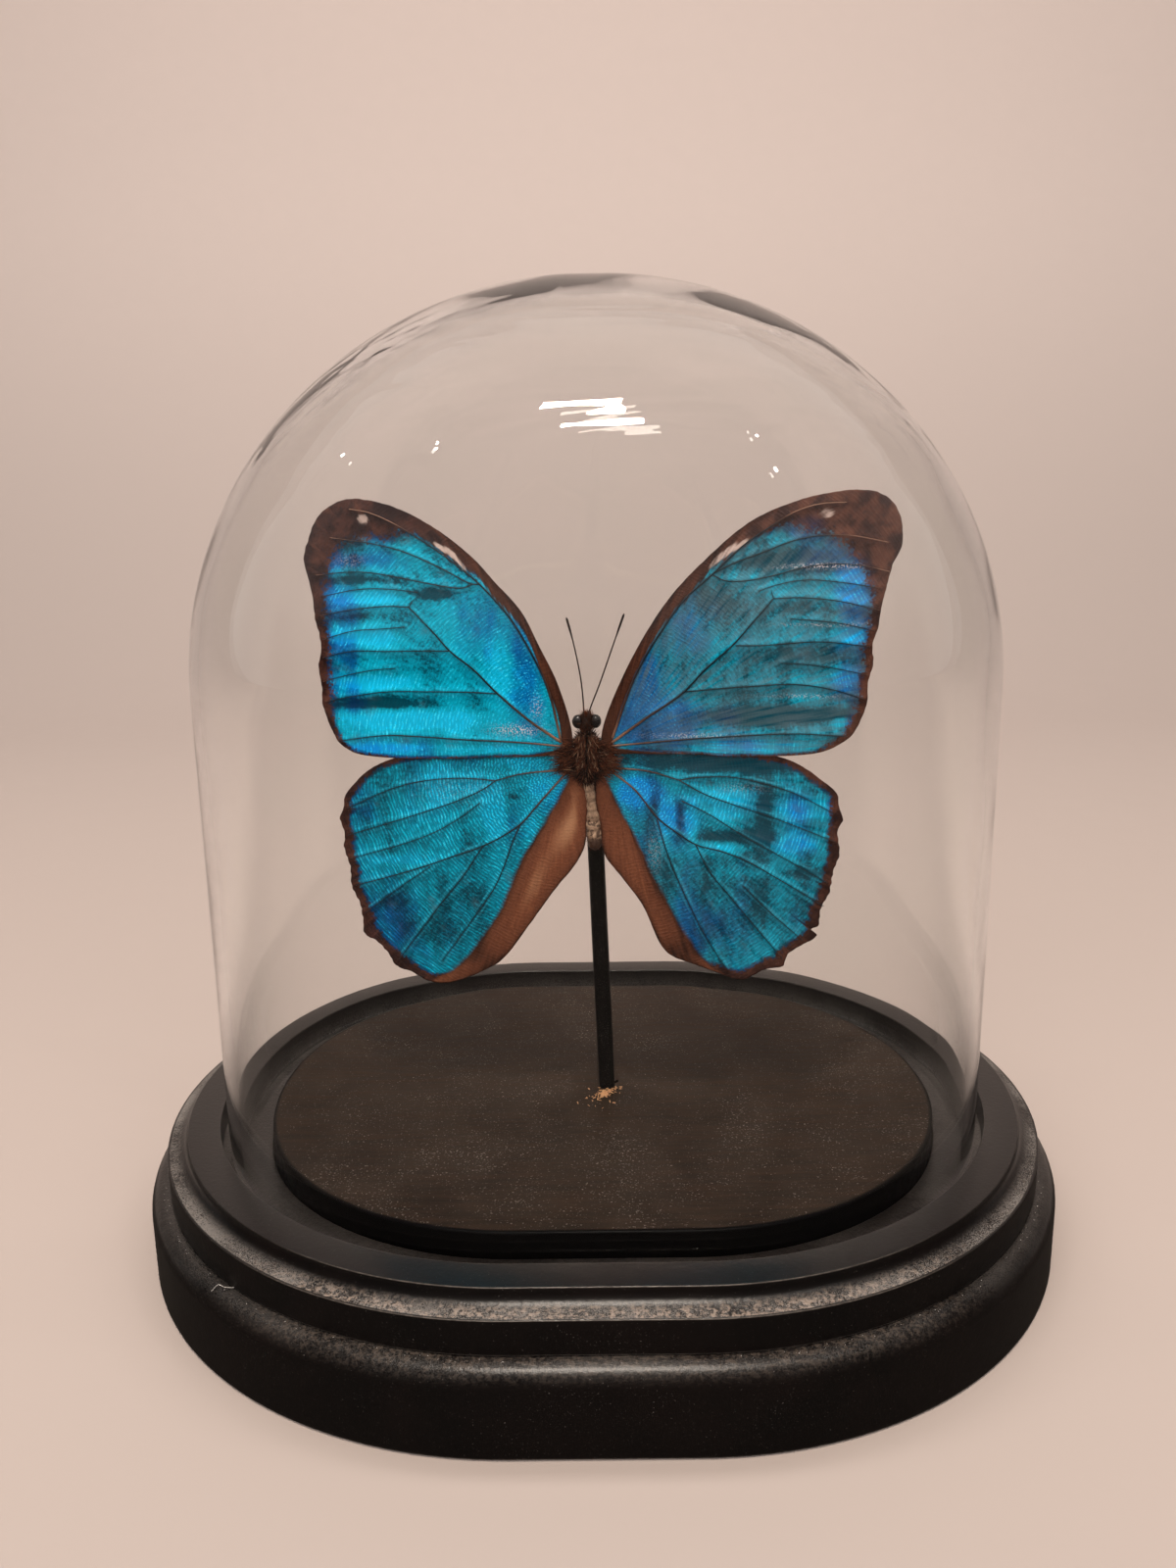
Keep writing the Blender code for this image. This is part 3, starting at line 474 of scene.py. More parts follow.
class Shape:
    """Points, faces and per-point values gathered part by part, then put into one mesh."""

    def __init__(self):
        self.points, self.faces, self.slots, self.values, self.count = [], [], [], [], 0

    def add(self, points, faces, slot=0, **values):
        """Adds one closed part; faces are arrays of quads or triangles that count from its first point."""
        points = np.asarray(points, float).reshape(-1, 3)
        slots = slot if isinstance(slot, list) else [slot] * len(faces)
        for part, number in zip(pointing_out(points, faces), slots):
            self.faces.append(part + self.count)
            self.slots.append(np.full(len(part), number))
        self.points.append(points)
        self.values.append({name: np.broadcast_to(value, len(points)) for name, value in values.items()})
        self.count += len(points)

    def build(self, name, materials, sharp_degrees=None, uv=()):
        """Makes the mesh object. uv names two of the values that become its UV map."""
        sizes = np.concatenate([np.full(len(part), part.shape[1]) for part in self.faces])
        loops = np.concatenate([part.reshape(-1) for part in self.faces])
        mesh = bpy.data.meshes.new(name)
        mesh.vertices.add(self.count)
        mesh.vertices.foreach_set("co", np.concatenate(self.points).astype(np.float32).ravel())
        mesh.loops.add(len(loops))
        mesh.loops.foreach_set("vertex_index", loops.astype(np.int32))
        mesh.polygons.add(len(sizes))
        mesh.polygons.foreach_set("loop_start", (np.cumsum(sizes) - sizes).astype(np.int32))
        mesh.polygons.foreach_set("material_index", np.concatenate(self.slots).astype(np.int32))
        mesh.polygons.foreach_set("use_smooth", np.ones(len(sizes), bool))
        names = sorted(set().union(*(values.keys() for values in self.values)))
        gathered = {
            key: np.concatenate([
                values.get(key, np.zeros(len(points))) for values, points in zip(self.values, self.points)
            ]).astype(np.float32)
            for key in names
        }
        for key in names:
            if key not in uv:
                mesh.attributes.new(key, "FLOAT", "POINT").data.foreach_set("value", gathered[key])
        if uv:
            layer = mesh.uv_layers.new(name="UVMap")
            layer.data.foreach_set("uv", np.stack([gathered[key][loops] for key in uv], 1).ravel())
        mesh.update(calc_edges=True)
        if mesh.validate(verbose=False):
            mesh.update(calc_edges=True)
        if sharp_degrees is not None:
            mesh.set_sharp_from_angle(angle=math.radians(sharp_degrees))
        for material in materials:
            mesh.materials.append(material)
        piece = bpy.data.objects.new(name, mesh)
        bpy.context.scene.collection.objects.link(piece)
        return piece


def rounded_profile(corners, steps=5):
    """Profile of (radius, height, rounding, value) corners, each corner with a rounding cut back by
    that length along both sides and bridged by a quadratic curve whose control point is the
    corner. The fourth column is carried along unchanged, and a fifth says how near a point is to
    the middle of such a rounding."""
    made = []
    corners = [np.asarray(corner, float) for corner in corners]
    t = np.linspace(0, 1, steps)[:, None]
    for before, corner, after in zip([corners[-1]] + corners[:-1], corners, corners[1:] + corners[:1]):
        rounding = corner[2]
        if rounding <= 0:
            made.append(np.array([[corner[0], corner[1], corner[3], 0]]))
            continue
        back = (before[:2] - corner[:2]) / np.linalg.norm(before[:2] - corner[:2])
        ahead = (after[:2] - corner[:2]) / np.linalg.norm(after[:2] - corner[:2])
        start, end = corner[:2] + back * rounding, corner[:2] + ahead * rounding
        bend = (1 - t) ** 2 * start + 2 * t * (1 - t) * corner[:2] + t ** 2 * end
        near = 1 - np.abs(2 * t - 1)
        made.append(np.concatenate([bend, np.full_like(t, corner[3]), near], axis=1))
    return np.concatenate(made)


def racetrack_ring(radius, steps):
    """Two half circles of a radius round (+straight, 0) and (-straight, 0), joined by straights:
    the outline of every oval here, anticlockwise from the front right, as x and y. A column of
    radii gives one such ring for each."""
    turn = np.linspace(-math.pi / 2, math.pi / 2, steps + 1)
    right = np.stack([HALF_STRAIGHT + radius * np.cos(turn), radius * np.sin(turn)], axis=-1)
    return np.concatenate([right, -right], axis=-2)


def oval_sweep(profile, steps, closed):
    """The profile's radii and heights carried round the oval: each profile point becomes one
    ring of points. A closed profile gives a ring-shaped solid; an open one is capped by a row on
    the middle line at each end."""
    rings = racetrack_ring(profile[:, :1], steps)
    heights = np.broadcast_to(profile[:, 1, None, None], rings.shape[:2] + (1,))
    points = np.concatenate([rings, heights], axis=2)
    return points, grid_faces(len(profile), rings.shape[1], wrap_rows=closed, wrap_columns=True)


def tube(path, radius, sides=8, cap=0.6):
    """A round section carried along a path: at each point the ring lies across the path's
    direction, its first side square to one fixed axis, and both ends close in a low dome."""
    path = np.asarray(path, float)
    radius = np.broadcast_to(radius, len(path)).astype(float)
    along = unit(np.gradient(path, axis=0))
    up = (0.0, 1.0, 0.0) if abs(along[0, 1]) < 0.9 else (1.0, 0.0, 0.0)
    side = unit(np.cross(along, up))
    other = np.cross(along, side)
    angle = np.linspace(0, 2 * math.pi, sides, endpoint=False)
    ring = side[:, None] * np.cos(angle)[None, :, None] + other[:, None] * np.sin(angle)[None, :, None]
    points = path[:, None] + ring * radius[:, None, None]
    first = path[0] - along[0] * radius[0] * cap
    last = path[-1] + along[-1] * radius[-1] * cap
    return np.concatenate([points.reshape(-1, 3), [first, last]]), closed_faces(len(path), sides)


def ripple(place, pitch, seed, octaves=4):
    """Seeded unevenness between about -1 and 1: a sum of sine waves in random directions, each
    octave with half the pitch and half the height of the one before."""
    draw = np.random.default_rng(seed)
    total = np.zeros(place.shape[:-1])
    for octave in range(octaves):
        for _ in range(3):
            direction = draw.normal(size=place.shape[-1])
            direction /= np.linalg.norm(direction)
            phase = draw.uniform(0, 2 * math.pi)
            total += np.sin(place @ direction * 2 * math.pi * 2 ** octave / pitch + phase) * 0.5 ** octave
    return total / 3.2


def finish_piece(piece, nodes):
    """Hangs the piece on the part's one body, and hides the part's nodes that it stands for."""
    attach(piece, BODY)
    if nodes:
        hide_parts(*nodes)
    return piece


# ---------------------------------------------------------------- shader tools

class Value:
    """A node's output. Sums and products of these add Math nodes to its tree."""

    def __init__(self, tree, socket):
        self.tree, self.socket = tree, socket

    def __add__(self, other):
        return math_of("ADD", self, other)

    def __sub__(self, other):
        return math_of("SUBTRACT", self, other)

    def __rsub__(self, other):
        return math_of("SUBTRACT", other, self)

    def __mul__(self, other):
        return math_of("MULTIPLY", self, other)

    def __truediv__(self, other):
        return math_of("DIVIDE", self, other)

    def __rtruediv__(self, other):
        return math_of("DIVIDE", other, self)


def plug(tree, socket, value):
    """Links a Value to the socket, or sets the socket to a number, vector or colour."""
    if isinstance(value, Value):
        tree.links.new(value.socket, socket)
    else:
        socket.default_value = value


def add_node(tree, kind, inputs, **settings):
    """A node with its settings, and each input set or linked."""
    made = tree.nodes.new(kind)
    for key, value in settings.items():
        setattr(made, key, value)
    for key, value in inputs.items():
        plug(tree, made.inputs[key], value)
    return made


def output(tree, kind, which, inputs=None, **settings):
    """One output of a new node, by its name or number."""
    return Value(tree, add_node(tree, kind, inputs or {}, **settings).outputs[which])


def math_of(operation, first, second=0.0, clamp=False):
    tree = (first if isinstance(first, Value) else second).tree
    return output(tree, "ShaderNodeMath", 0, {0: first, 1: second}, operation=operation, use_clamp=clamp)


def larger(first, second):
    return math_of("MAXIMUM", first, second)


def remap(value, low, high, to_low=0.0, to_high=1.0):
    """The value's range from low to high, spread smoothly over the new range and held at its ends."""
    inputs = {"Value": value, "From Min": low, "From Max": high, "To Min": to_low, "To Max": to_high}
    return output(value.tree, "ShaderNodeMapRange", "Result", inputs, interpolation_type="SMOOTHSTEP")


def mix(factor, first, second):
    """A colour that goes from the first to the second as the factor goes from 0 to 1."""
    first, second = (color if isinstance(color, Value) else (*color[:3], 1.0) for color in (first, second))
    return output(factor.tree, "ShaderNodeMix", 2, {0: factor, 6: first, 7: second}, data_type="RGBA")


def layers(ground, *coats):
    """The ground colour with coats laid over it in turn, each a (mask, colour) pair."""
    for mask, color in coats:
        ground = mix(mask, ground, color)
    return ground


def noise(place, scale, detail=3.0, roughness=0.5, distortion=0.0):
    inputs = {"Vector": place, "Scale": scale, "Detail": detail, "Roughness": roughness,
              "Distortion": distortion}
    return output(place.tree, "ShaderNodeTexNoise", "Fac", inputs)


def stretched(vector, scale, turn=(0, 0, 0)):
    inputs = {"Vector": vector, "Scale": scale, "Rotation": turn}
    return output(vector.tree, "ShaderNodeMapping", 0, inputs)


def place_of(tree, scale=(1, 1, 1), turn=(0, 0, 0)):
    """Object coordinates, stretched and turned."""
    return stretched(output(tree, "ShaderNodeTexCoord", "Object"), scale, turn)


def axis_of(vector, axis):
    return output(vector.tree, "ShaderNodeSeparateXYZ", axis, {"Vector": vector})


def value_of(tree, name):
    """One of the piece's own values, stored on its points."""
    return output(tree, "ShaderNodeAttribute", "Fac", attribute_name=name, attribute_type="GEOMETRY")


def use_group(tree, name, fill, **inputs):
    """The outputs of a shared node group, by name. On first use the group gets its sockets, and fill
    adds its nodes and returns its outputs by name."""
    if name not in bpy.data.node_groups:
        group = bpy.data.node_groups.new(name, "ShaderNodeTree")
        for label in inputs:
            kind = "NodeSocketVector" if label == "Vector" else "NodeSocketFloat"
            group.interface.new_socket(label, in_out="INPUT", socket_type=kind)
        source = group.nodes.new("NodeGroupInput")
        made = fill(*(Value(group, source.outputs[label]) for label in inputs))
        for label in made:
            group.interface.new_socket(label, in_out="OUTPUT", socket_type="NodeSocketFloat")
        target = group.nodes.new("NodeGroupOutput")
        for label, value in made.items():
            plug(group, target.inputs[label], value)
    used = add_node(tree, "ShaderNodeGroup", {}, node_tree=bpy.data.node_groups[name])
    for label, value in inputs.items():
        plug(tree, used.inputs[label], value)
    return {socket.name: Value(tree, socket) for socket in used.outputs}


def specks(place, size, amount):
    """Dust: where a noise of that size in mm passes a threshold there is a speck, and a wide noise
    thins them out."""
    def fill(vector, size, amount):
        fine = noise(vector, 1000.0 / size, 2.0, 0.6)
        wide = noise(vector, 60.0, 3.0, 0.6)
        return {"Mask": math_of("MULTIPLY", fine - (0.76 - amount * wide), 14.0, clamp=True)}

    return use_group(place.tree, "Dust specks", fill, Vector=place, Size=size, Amount=amount)["Mask"]


def mottle_of(place, size):
    """Age: a twisted noise of that size in mm, for slow changes of colour and gloss."""
    def fill(vector, size):
        return {"Mask": remap(noise(vector, 1000.0 / size, 4.0, 0.6, 0.6), 0.3, 0.7)}

    return use_group(place.tree, "Age mottle", fill, Vector=place, Size=size)["Mask"]


def scale_rows(tree, pitch):
    """Rows of wing scales, as (rows, streaks, height): U of the wing's map is the distance from the
    root and V runs round it, both in metres. A sine wave across U makes the rows, pitch mm apart,
    bent by a slow noise and broken up by a noise stretched along them; streaks are a noise
    stretched outwards, and fine grains stand for single scales."""
    def fill(pitch):
        layout = output(pitch.tree, "ShaderNodeUVMap", "UV", uv_map="UVMap")
        outward = axis_of(layout, "X") + noise(layout, 160.0, 2.0) * 0.0022
        full_turn = 6283.2  # 2 pi, for a pitch in mm and a distance in m
        wave = math_of("SINE", outward * full_turn / pitch) * 0.5 + 0.5
        broken = noise(stretched(layout, (1.0, 0.16, 1.0)), 2600.0, 2.0, 0.6)
        rows = wave * remap(broken, 0.35, 0.62)
        streaks = noise(stretched(layout, (0.10, 1.0, 1.0)), 900.0, 3.0, 0.6)
        return {"Rows": rows, "Streaks": streaks, "Height": rows * 0.7 + noise(layout, 7000.0, 1.0) * 0.5}

    return use_group(tree, "Scale rows", fill, Pitch=pitch).values()


def new_material(name, **plain):
    """A material whose Principled shader has the plain values set on its own sockets."""
    material = bpy.data.materials.new(name)
    material.use_nodes = True
    shader = material.node_tree.nodes["Principled BSDF"]
    for key, value in plain.items():
        shader.inputs[key.replace("_", " ")].default_value = value
    return material, material.node_tree


def connect(material, color, roughness=None, metallic=None, height=None, strength=0.3, distance=0.0001):
    """Feeds the shader's sockets; a height goes through a Bump node of that strength and depth."""
    tree = material.node_tree
    shader = tree.nodes["Principled BSDF"]
    for key, value in (("Base Color", color), ("Roughness", roughness), ("Metallic", metallic)):
        if value is not None:
            plug(tree, shader.inputs[key], value)
    if height is not None:
        bump = {"Height": height, "Strength": strength, "Distance": distance}
        plug(tree, shader.inputs["Normal"], output(tree, "ShaderNodeBump", "Normal", bump))
    return material


# ---------------------------------------------------------------- materials

def lacquer_material(color):
    """Black lacquer, browner in places. Where the surface value for wear and painted light is high it is
    scratched down to a paler ground, rough and dusty, and 'edge' is rubbed; both pale colours show most at
    the front, so they are partly a painted highlight where the lamp's light falls on the cove's lower half
    and the shoulder."""
    material, tree = new_material(
        "black lacquer", Specular_IOR_Level=0.38, Coat_Weight=0.10, Coat_Roughness=0.24)
    place = place_of(tree)
    mottle, fine = mottle_of(place, 26.0), mottle_of(place, 1.6)
    dust, heavy = specks(place, 0.26, 0.12), specks(place, 0.22, 0.62)
    brushed = noise(place_of(tree, (1.0, 5.0, 3.0), (0.0, 0.0, 0.7)), 420.0, 4.0, 0.7)
    grain = noise(place, 1200.0, 2.0, 0.6)
    worn, edge = remap(value_of(tree, "worn"), 0.15, 1.0), value_of(tree, "edge")
    # Painted light: 1 along the front of the base and 0.12 elsewhere, so the pale ground and rubbed edges
    # show as a painted highlight at the front.
    front = remap(axis_of(place, "Y"), -0.058, -0.0745, 0.12, 1.0)
    streak = remap(brushed * 0.4 + grain * 0.6, 0.46, 0.60)
    speck = larger(dust, heavy * worn) * 0.42
    colored = layers(
        mix(mottle, color, (color[0] * 1.8, color[1] * 1.4, color[2] * 1.3)),
        (worn * front, mix(streak, (0.012, 0.009, 0.008), (0.27, 0.20, 0.155))),
        (edge * front * remap(fine, 0.2, 0.9, 0.30, 0.6), (0.20, 0.165, 0.14)),
        (speck, (0.36, 0.32, 0.29)))
    gloss = remap(mottle, 0.0, 1.0, 0.29, 0.34)
    rough = math_of("ADD", gloss + worn * 0.10, speck * 0.35, clamp=True)
    height = (brushed + grain * 3.0) * (worn + 0.10) + fine * 0.06
    return connect(material, colored, rough, None, height, 0.55, 0.00018)


def deck_material(color):
    """Dark stained board: long grain across the base, a satin skin and settled dust, and near black where
    the surface value for wear and painted light is high: a painted shade on the board's side, underside
    and rounded top edge, in the shadowed gap inside the collar."""
    material, tree = new_material("stained board", Specular_IOR_Level=0.05)
    place = place_of(tree)
    grain = noise(place_of(tree, (0.10, 1.0, 1.0)), 700.0, 4.0, 0.65, 0.3)
    colored = layers(
        mix(remap(grain, 0.35, 0.7), color, (color[0] * 2.6, color[1] * 2.4, color[2] * 2.3)),
        (mottle_of(place, 18.0) * 0.35, (0.040, 0.027, 0.019)),
        (specks(place, 0.4, 0.24) * 0.5, (0.33, 0.28, 0.24)),
        (value_of(tree, "edge") * 0.12, (0.22, 0.17, 0.13)),
        # Painted shade: near black on the side, underside and rounded edge.
        (value_of(tree, "worn"), (0.0016, 0.0014, 0.0014)))
    return connect(material, colored, remap(grain, 0.3, 0.7, 0.30, 0.48), None, grain, 0.25, 0.0001)


def glass_material():
    """Clear blown glass, plain transmission and index, with a faint tint that varies and a band of
    uneven, pulled glass round the crown."""
    material, tree = new_material(
        "clear glass", Transmission_Weight=1.0, IOR=1.5, Metallic=0.0, Roughness=0.0)
    place = place_of(tree)
    tint = mix(mottle_of(place, 45.0), (0.985, 0.995, 0.99), (1.0, 1.0, 1.0))
    band = noise(place_of(tree, (0.30, 0.9, 1.0)), 62.0, 2.0, 0.5, 0.8)
    height = axis_of(place, "Z")
    pulled = band * remap(height, 0.155, 0.168) * remap(height, 0.190, 0.182)
    return connect(material, tint, None, None, pulled, 0.5, 0.0006)


def rod_material():
    """Black painted wooden rod, satin, with fine lengthwise lines and a little dust."""
    material, tree = new_material("painted rod", Specular_IOR_Level=0.06, Coat_Weight=0.02)
    lines = noise(place_of(tree, (1.0, 1.0, 0.05)), 1800.0, 3.0, 0.6)
    paint = mix(lines, (0.0006, 0.0005, 0.0005), (0.0030, 0.0024, 0.0020))
    colored = mix(specks(place_of(tree), 0.25, 0.3) * 0.12, paint, (0.25, 0.21, 0.18))
    return connect(material, colored, remap(lines, 0.3, 0.7, 0.32, 0.46), None, lines, 0.3, 0.00006)


def wing_material(settings):
    """Upper side: three blues by the wing's tone, which is painted light (bright blue as painted sheen,
    deep teal as painted shade), each leaning to violet, with painted glints as sparkle, combed rows of
    scales, painted highlights beside the veins and a dull ground, partly rubbed and partly painted shade;
    over them a brown margin, a warm costa or satin fold with a painted sheen, and pale marks."""
    material, tree = new_material(
        "blue wing scales", Specular_IOR_Level=0.12, Specular_Tint=(0.35, 0.8, 1.0, 1.0))
    rows, streaks, relief = scale_rows(tree, 0.74)
    place = place_of(tree)
    margin, warm, rubbed_and_painted_shade, violet, combed, gold_and_painted_sheen = (
        value_of(tree, name) for name in ("margin", "warm", "rubbed_and_painted_shade", "violet", "combed", "gold_and_painted_sheen"))
    blotch = noise(place, 260.0, 4.0, 0.6)
    fleck = noise(place, 1500.0, 3.0, 0.7)
    glint = noise(place, 3400.0, 1.0, 0.5)

    def swing(value, size):
        """A noise shifted to be even about nought, times a size."""
        return (value - 0.5) * size

    # Painted light: a high level is painted sheen and a low level painted shade; it is lowered under the
    # margin.
    level = value_of(tree, "tone") + swing(blotch, 0.6) + swing(streaks, 0.7) + swing(fleck, 1.7)
    level = level - margin * 0.9
    shift = violet + swing(blotch, 0.9) + margin
    lean = remap(shift, 0.1, 0.9)
    # Painted glints: bright specks on the crests of the scale rows where the level is high.
    sparkle = remap(glint, 0.50, 0.60) * remap(level, 0.20, 0.9) * remap(rows, 0.35, 0.85) * 0.9
    # Painted highlight: a pale line along each side of every vein.
    ridge = value_of(tree, "ridge") * remap(streaks, 0.38, 0.60, 0.0, 0.60) * combed
    # Dull ground: partly rubbed scales, partly painted shade where a wing turns from the light.
    dull = mix(blotch, (0.030, 0.070, 0.085), (0.125, 0.170, 0.185))
    blue = layers(
        mix(lean, settings.deep, settings.deep_violet),
        (remap(level, -0.40, 0.55), mix(lean, settings.middle, settings.middle_violet)),
        (remap(level, 0.50, 1.25), mix(remap(shift, 0.3, 1.0), settings.bright, settings.bright_violet)),
        (sparkle, (0.06, 0.80, 1.0)),
        (ridge, (0.05, 0.66, 0.92)),
        ((1.0 - rows) * 0.66 * combed, (0.0, 0.030, 0.050)),
        (rubbed_and_painted_shade * remap(streaks, 0.3, 0.6) * 0.85, dull),
        (value_of(tree, "vein") * 0.45, (0.004, 0.020, 0.030)),
        # Pale specks: rubbed scales with painted glints.
        (remap(glint, 0.52, 0.60) * value_of(tree, "bare_and_painted_glints"), (0.62, 0.56, 0.58)))
    brown = layers(
        mix(fleck, (0.008, 0.003, 0.002), [part * 2.1 for part in settings.margin]),
        (remap(blotch, 0.40, 0.62, 0.75, 0.0), (0.010, 0.004, 0.004)),
        (remap(streaks, 0.5, 0.75, 0.0, 0.7), (0.11, 0.040, 0.024)),
        (remap(violet, 0.5, 1.2, 0.0, 0.85), (0.006, 0.012, 0.042)),
        (rubbed_and_painted_shade * remap(blotch, 0.35, 0.7, 0.1, 0.8), (0.150, 0.060, 0.036)))
    costa = mix(remap(streaks, 0.3, 0.75), (0.003, 0.0012, 0.0010), (0.064, 0.019, 0.009))
    hair = remap((streaks + fleck) * 0.5, 0.15, 0.85)
    costa = mix(remap(gold_and_painted_sheen, 0.08, 0.25), costa, mix(hair, (0.055, 0.016, 0.008), (0.120, 0.038, 0.018)))
    satin = mix(hair, (0.115, 0.031, 0.013), (0.29, 0.102, 0.046))
    # Painted sheen: pale gold in the middle of the fold's roll.
    satin = mix(remap(gold_and_painted_sheen, 0.65, 1.2), satin, (0.50, 0.265, 0.140))
    ragged = value_of(tree, "pale") * remap(streaks, 0.36, 0.56, 0.25, 1.0)
    colored = layers(
        blue,
        (remap(margin + swing(fleck, 2.0), 0.30, 0.70), brown),
        (warm, mix(gold_and_painted_sheen, costa, satin)),
        (ragged, (0.50, 0.38, 0.33)))
    covered = larger(larger(margin, warm), ragged)
    rough = remap(rows, 0.0, 1.0, 0.50, 0.36) + covered * 0.18
    return connect(material, colored, rough, (1.0 - covered) * 0.08, relief + fleck * 0.5, 0.6, 0.00014)


def underside_material():
    """Underside, brown, with a pale line along the margin and ringed eye spots."""
    material, tree = new_material("brown wing underside", Sheen_Weight=0.2)
    rows, _, relief = scale_rows(tree, 0.62)
    inset, eye = value_of(tree, "inset"), value_of(tree, "eye")
    ground = noise(place_of(tree), 140.0, 4.0, 0.6)
    colored = layers(
        mix(ground, (0.070, 0.038, 0.022), (0.20, 0.125, 0.075)),
        (remap(inset, 0.16, 0.20) * remap(inset, 0.30, 0.25) * 0.7, (0.42, 0.33, 0.22)),
        (remap(eye, 1.04, 0.98), (0.40, 0.30, 0.13)),
        (remap(eye, 0.84, 0.78), (0.015, 0.010, 0.010)),
        (remap(eye, 0.42, 0.38), (0.16, 0.05, 0.03)),
        (remap(eye, 0.16, 0.11), (0.75, 0.72, 0.66)),
        (value_of(tree, "vein") * 0.6, (0.03, 0.018, 0.012)))
    return connect(material, colored, remap(rows, 0.0, 1.0, 0.72, 0.55), None, relief, 0.3, 0.0001)


def vein_material():
    """Veins: dark, slightly glossy ribs, brown near the root and past the tip."""
    material, tree = new_material("wing veins", Specular_IOR_Level=0.3)
    fine, warm = noise(place_of(tree), 1400.0, 3.0), value_of(tree, "warm")
    colored = layers(
        mix(fine, (0.002, 0.006, 0.009), (0.010, 0.022, 0.030)),
        (warm, mix(fine, (0.020, 0.008, 0.005), (0.12, 0.052, 0.030))),
        (remap(warm, 1.0, 2.0), (0.24, 0.125, 0.080)))
    return connect(material, colored, remap(fine, 0.3, 0.7, 0.38, 0.55), None, fine, 0.3, 0.00005)


def fur_material(color):
    """Hair, from dark brown through reddish to pale by the hair's own tint, darker at its root."""
    material, tree = new_material("brown hair", Specular_IOR_Level=0.12)
    tint = value_of(tree, "tint")
    shade = layers(
        mix(remap(tint, 0.15, 0.70), color, (0.105, 0.029, 0.011)),
        (remap(tint, 0.84, 1.0), (0.36, 0.22, 0.14)),
        (remap(value_of(tree, "along"), 0.7, 0.0, 0.0, 0.75), (0.004, 0.002, 0.0015)))
    return connect(material, shade, remap(noise(place_of(tree), 1500.0), 0.3, 0.7, 0.45, 0.65))


def skin_material(color):
    """Dry body skin: pale beige where rubbed, mottled grey-beige with dark dots, dark at the end
    and in the creases between segments."""
    material, tree = new_material("dry body skin", Specular_IOR_Level=0.3)
    place = place_of(tree)
    mottle = mottle_of(place, 2.2)
    tone = layers(
        mix(mottle, color, (0.20, 0.12, 0.075)),
        (specks(place, 0.9, 0.42) * 0.85 * value_of(tree, "spotted"), (0.045, 0.025, 0.018)),
        (value_of(tree, "dark"), (0.040, 0.018, 0.012)),
        (value_of(tree, "crease") * 0.45, (0.08, 0.045, 0.03)))
    return connect(material, tone, remap(mottle, 0.0, 1.0, 0.42, 0.62), None, mottle, 0.5, 0.0002)


def plain_grain_material(name, dark, light, rough, size=0.6, **plain):
    """Two shades of one colour mixed by a fine noise that also lifts the surface a little."""
    material, tree = new_material(name, **plain)
    fine = noise(place_of(tree), 1000.0 / size, 3.0, 0.6)
    gloss = remap(fine, 0.3, 0.7, rough, rough + 0.12)
    return connect(material, mix(fine, dark, light), gloss, None, fine, 0.25, 0.00006)


# ---------------------------------------------------------------- base

